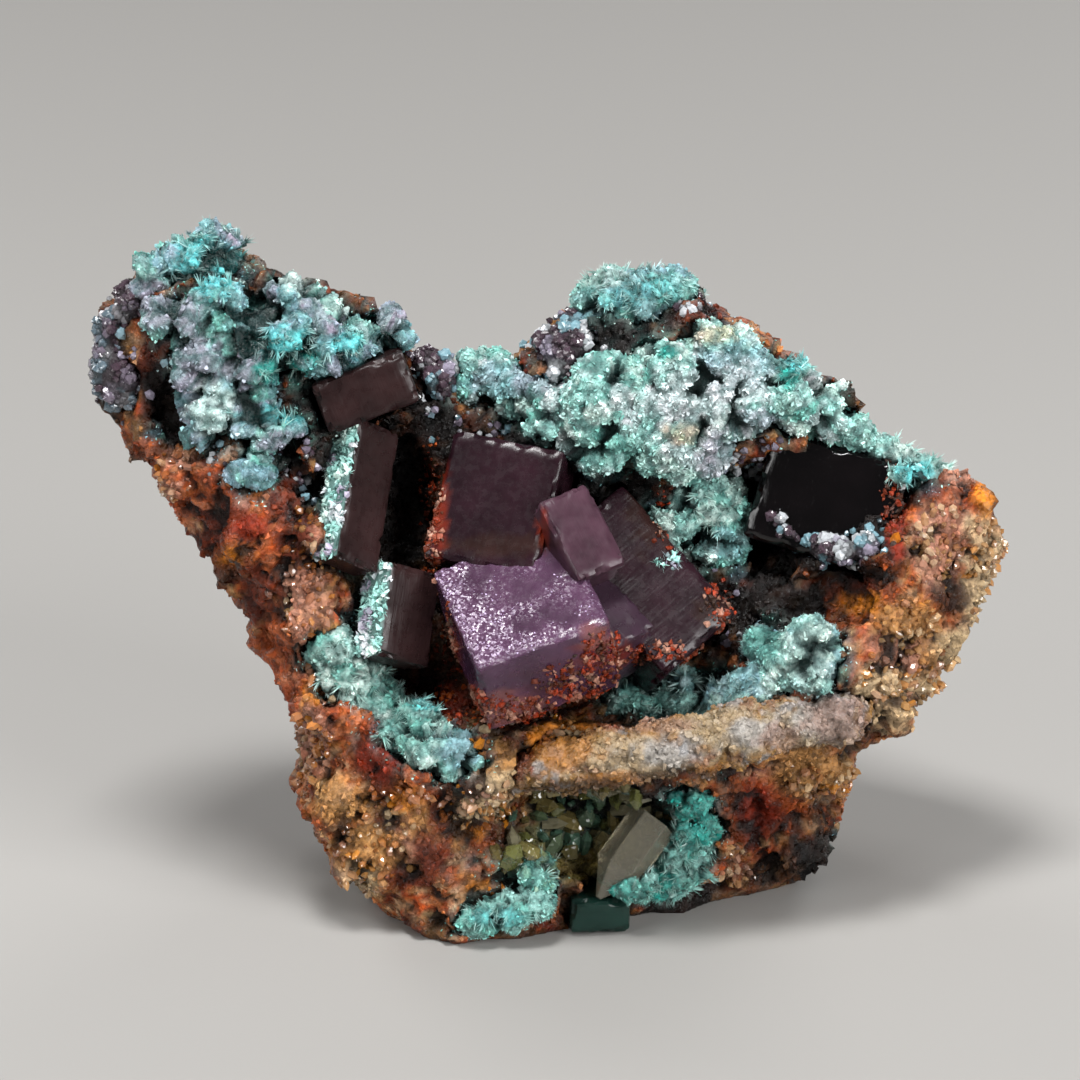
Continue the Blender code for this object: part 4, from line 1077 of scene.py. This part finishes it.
def make_crust(node, forms, finishes, seed):
    """One aurichalcite crust: a clumped skin with sunken gaps in painted shade, its granules, and needles where they
    show.
    """
    style, palette, stains, bright_spots = CRUST_LOOKS[node]
    grain, lump, gap_at = {"lumpy": (1.9, 0.9, 0.55),"granular": (1.6, 0.7, 0.72), "silky": (1.4, 0.5, 0.74)}[style]
    label = node.replace("aurichalcite_", "mint_")
    crust = fine_copy(node, f"{label}_crust", CRUST_VOXEL)
    points, _ = points_of(crust)
    big, luck = cells(points, grain, seed)
    small, fine_luck = cells(points, 0.66, 1.0 + seed)
    rim = near_to(points, tree_of(["matrix_rock"]), 1.1)
    gaps = smoothstep(0.0, 0.16, big - gap_at + 0.45 * cloud(points, 2.6, 7.0 + seed) + 0.22 * rim)
    heights = lump * (0.5 - big) + 0.3 * (0.5 - small) + 0.14 * cloud(points, 0.4, 8.0)
    heights += {"lumpy": 0.4, "granular": 0.2, "silky": 0.12}[style] * broken(points, 1.1, 30.0)
    press(crust, CLOSE_GAP + heights - 1.1 * gaps)

    points, normals = points_of(crust)
    view = in_view(points)
    wobble = cloud(points, 1.0, 6.0)
    open_sky = openness(points, normals, tree_of(frame["nodes"]))
    colours = blend(by_luck(palette, luck), by_luck(palette, fine_luck), np.full(len(points), 0.35))
    colours = stained(colours, view, stains, wobble)
    # painted shade: deep teal in the creases between the small lumps
    colours = blend(colours, SHADE_TEAL, smoothstep(0.4, 0.7, small) * 0.7)
    # painted shade: the gaps between the lumps and along the rock near black
    colours = blend(colours, BLACK_BROWN, gaps * 0.92)
    # painted shade: deep teal where walls round a point block the light
    lit = smoothstep(0.02, 0.55, open_sky)
    colours = blend(np.array(SHADE_TEAL) * 0.5 * np.ones_like(colours), colours, 0.4 + 0.6 * lit)
    keep_tint(crust, colours)
    crust.data.materials.append(finishes["glassy crust" if style == "lumpy" else "crust"])
    bright = patch(view, bright_spots, wobble)

    parts = []
    tops = smoothstep(0.8, 0.5, small) * (1.0 - gaps) * smoothstep(0.02, 0.12, open_sky)
    apart, biggest = {"lumpy": (0.34, 0.28), "granular": (0.19, 0.3), "silky": (0.3, 0.26)}[style]
    granules = grown(f"{label}_granules", crust, tops * (1.0 - 0.6 * bright), colours * 1.1, forms["granules"],
                     finishes["granules"], apart, (0.1, biggest), seed, tilt=1.4, sunk=0.0)
    if style == "silky":
        parts.append(grown(f"{label} fibres", crust, tops, colours, forms["fuzz"], finishes["needles"],
                           0.26, (0.22, 0.5), seed + 20, tilt=1.3))
    if style == "granular":
        parts.append(grown(f"{label} fuzz", crust, tops, colours * 1.1, forms["fuzz"], finishes["needles"],
                           0.4, (0.16, 0.36), seed + 30, tilt=0.9))
    parts.append(grown(f"{label} sprays", crust, bright * (1.0 - gaps), colours, forms["sprays"], finishes["needles"],
                       0.5, (0.6, 1.3), seed + 50, tilt=1.2, sunk=0.1))
    needles = joined(parts, f"{label}_needles")
    return [(crust, [node], "aurichalcite"), (granules, [], "aurichalcite"), (needles, [], "aurichalcite")]


def make_beads(node, forms, finishes, seed):
    """One patch of grey lavender beads."""
    label = node.replace("hemimorphite_", "lavender_")
    skin = fine_copy(node, f"{label}_skin", CRUST_VOXEL)
    points, _ = points_of(skin)
    near, luck = cells(points, 1.1, seed)
    press(skin, CLOSE_GAP * 0.5 + 0.5 * (0.5 - near))
    points, _ = points_of(skin)
    colours = by_luck([LAVENDER, DARK_MAUVE, GREY_BLUE, DARK_MAUVE, MILK], luck)
    if node == "hemimorphite_left_end":
        colours = blend(colours, DARK_MAUVE, np.full(len(points), 0.6))
    keep_tint(skin, colours * 0.3)
    skin.data.materials.append(finishes["crust"])
    beads = grown(f"{label}_beads", skin, smoothstep(0.75, 0.5, near), colours, forms["beads"], finishes["beads"],
                  0.36, (0.16, 0.5), seed)
    return [(skin, [node], "hemimorphite"), (beads, [], "hemimorphite")]


def make_fluorite(forms, finishes):
    """Every fluorite crystal, with what grew on its faces: frost, a mint crust and red crumbs."""
    glass = {name: fluorite_finish(name) for name in FLUORITE_FINISHES}
    made = []
    for seed, (node, rows) in enumerate(CRYSTALS.items()):
        parts = []
        for i, (face_middle, sizes, turns, look) in enumerate(rows):
            one = crystal(face_middle, sizes, turns, f"{node} {i}", look, "blade" in node)
            one.data.materials.append(glass[look])
            parts.append(one)
        whole = joined(parts, f"{node}_crystals")
        made.append((whole, [node], "fluorite"))
        points, _ = points_of(whole)
        count = len(points)
        frost = numbers_of(whole, "frost")
        if frost.any():
            colours = np.tile(np.array(shade(172, 154, 184)), (count, 1))
            grains = grown("cube_frost", whole, frost * smoothstep(-0.3, 0.3, cloud(points, 1.2, 3.0)), colours,
                           forms["frost"], finishes["frost"], 0.2, (0.05, 0.13), 60, tilt=1.4, sunk=0.0)
            made.append((grains, [], "fluorite"))
        mint = numbers_of(whole, "mint") * smoothstep(-0.6, 0.0, cloud(points, 1.6, 9.0))
        mint = np.maximum(mint, patch(in_view(points), MINT_TUFTS, cloud(points, 0.8, 19.0)))
        if mint.any():
            _, luck = cells(points, 1.2, 7.0)
            colours = by_luck([MINT, PALE_MINT, MILK, MINT, LAVENDER], luck)
            crust = grown(f"{node}_mint", whole, mint, colours, forms["granules"], finishes["granules"],
                          0.14, (0.16, 0.46), 70 + seed, tilt=1.4, sunk=0.0)
            fuzz = grown(f"{node}_mint_fuzz", whole, mint, colours, forms["fuzz"], finishes["needles"],
                         0.24, (0.4, 0.75), 90 + seed, tilt=1.2)
            made += [(crust, [], "aurichalcite"), (fuzz, [], "aurichalcite")]
        red = patch(in_view(points), RED_CRUMBS, cloud(points, 0.9, 12.0))
        if red.any():
            _, luck = cells(points, 0.6, 14.0)
            colours = by_luck([RED_RUST, DEEP_RUST, DARK_BROWN, DEEP_RUST, PINK_QUARTZ], luck)
            crumbs = grown(f"{node}_crumbs", whole, red, colours, forms["grains"], finishes["grains"],
                           0.26, (0.1, 0.42), 80 + seed, tilt=1.4, sunk=0.0)
            made.append((crumbs, [], "limonite"))
    return made


def make_quartz_point():
    """The clear pointed crystal in the recess."""
    shape = bmesh.new()
    shape.from_mesh(frame["nodes"]["quartz_point"].data)
    bmesh.ops.remove_doubles(shape, verts=shape.verts, dist=0.001 * MM)
    bmesh.ops.dissolve_limit(shape, angle_limit=math.radians(1.0), verts=shape.verts, edges=shape.edges)
    bmesh.ops.bevel(shape, geom=shape.edges[:], offset=0.05 * MM, segments=1, affect="EDGES")
    point = new_object("clear_point", shape)
    point.data.materials.append(clear_quartz_finish())
    return [(point, ["quartz_point"], "clear_quartz")]


forms = {
    "grains": form_box("grain forms", [angular_grain(f"grain {i}", 9) for i in range(6)]),
    "frost": form_box("frost forms", [angular_grain(f"frost {i}", 6) for i in range(4)]),
    "beads": form_box("bead forms", [round_grain(f"bead {i}", 1, 0.45) for i in range(6)]),
    "granules": form_box("granule forms", [angular_grain(f"granule {i}", 7) for i in range(6)]),
    "fuzz": form_box("fuzz forms", [needle_spray(f"fuzz {i}", 6, 0.9, 0.08) for i in range(6)]),
    "sprays": form_box("spray forms", [needle_spray(f"spray {i}", 10, 0.55, 0.07) for i in range(6)]),
    "crystals": form_box("crystal forms", [small_point(f"point {i}") for i in range(5)]),
}
finishes = {
    "crust": mineral("aurichalcite", 0.36, 0.25, (0.3, 0.75), 0.12),
    "glassy crust": mineral("glassy aurichalcite", 0.5, 0.3, (0.06, 0.4), 0.16, glowing=0.15),
    "granules": granule_finish("granules", 0.6, 1.2, 0.4),
    "grains": mineral("rock grains", 0.4, 0.3, (0.1, 0.5), 0.08, shine=0.3),
    "quartz grains": mineral("quartz grains", 0.4, 0.15, (0.08, 0.4), 0.07),
    "frost": granule_finish("frost grains", 0.4, 1.4, 0.2),
    "crystals": bead_finish("small clear crystals", 0.7, 1.2, 0.1, 0.4, 1.544),
    "needles": needle_finish(),
    "beads": bead_finish("lavender beads", 0.5, 1.2, 0.2, 0.4, 1.61),
}

made = make_rock(forms, finishes) + make_ledge(forms, finishes)
for i, node in enumerate(CRUST_LOOKS):
    made += make_crust(node, forms, finishes, i)
for i, node in enumerate(name for name in sorted(frame["nodes"]) if name.startswith("hemimorphite_")):
    made += make_beads(node, forms, finishes, 100 + i)
made += make_fluorite(forms, finishes) + make_quartz_point()

for piece, nodes, slot in made:
    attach(piece, "root")
    if nodes:
        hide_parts(*nodes)

lay_floor()
set_camera()
light_room()
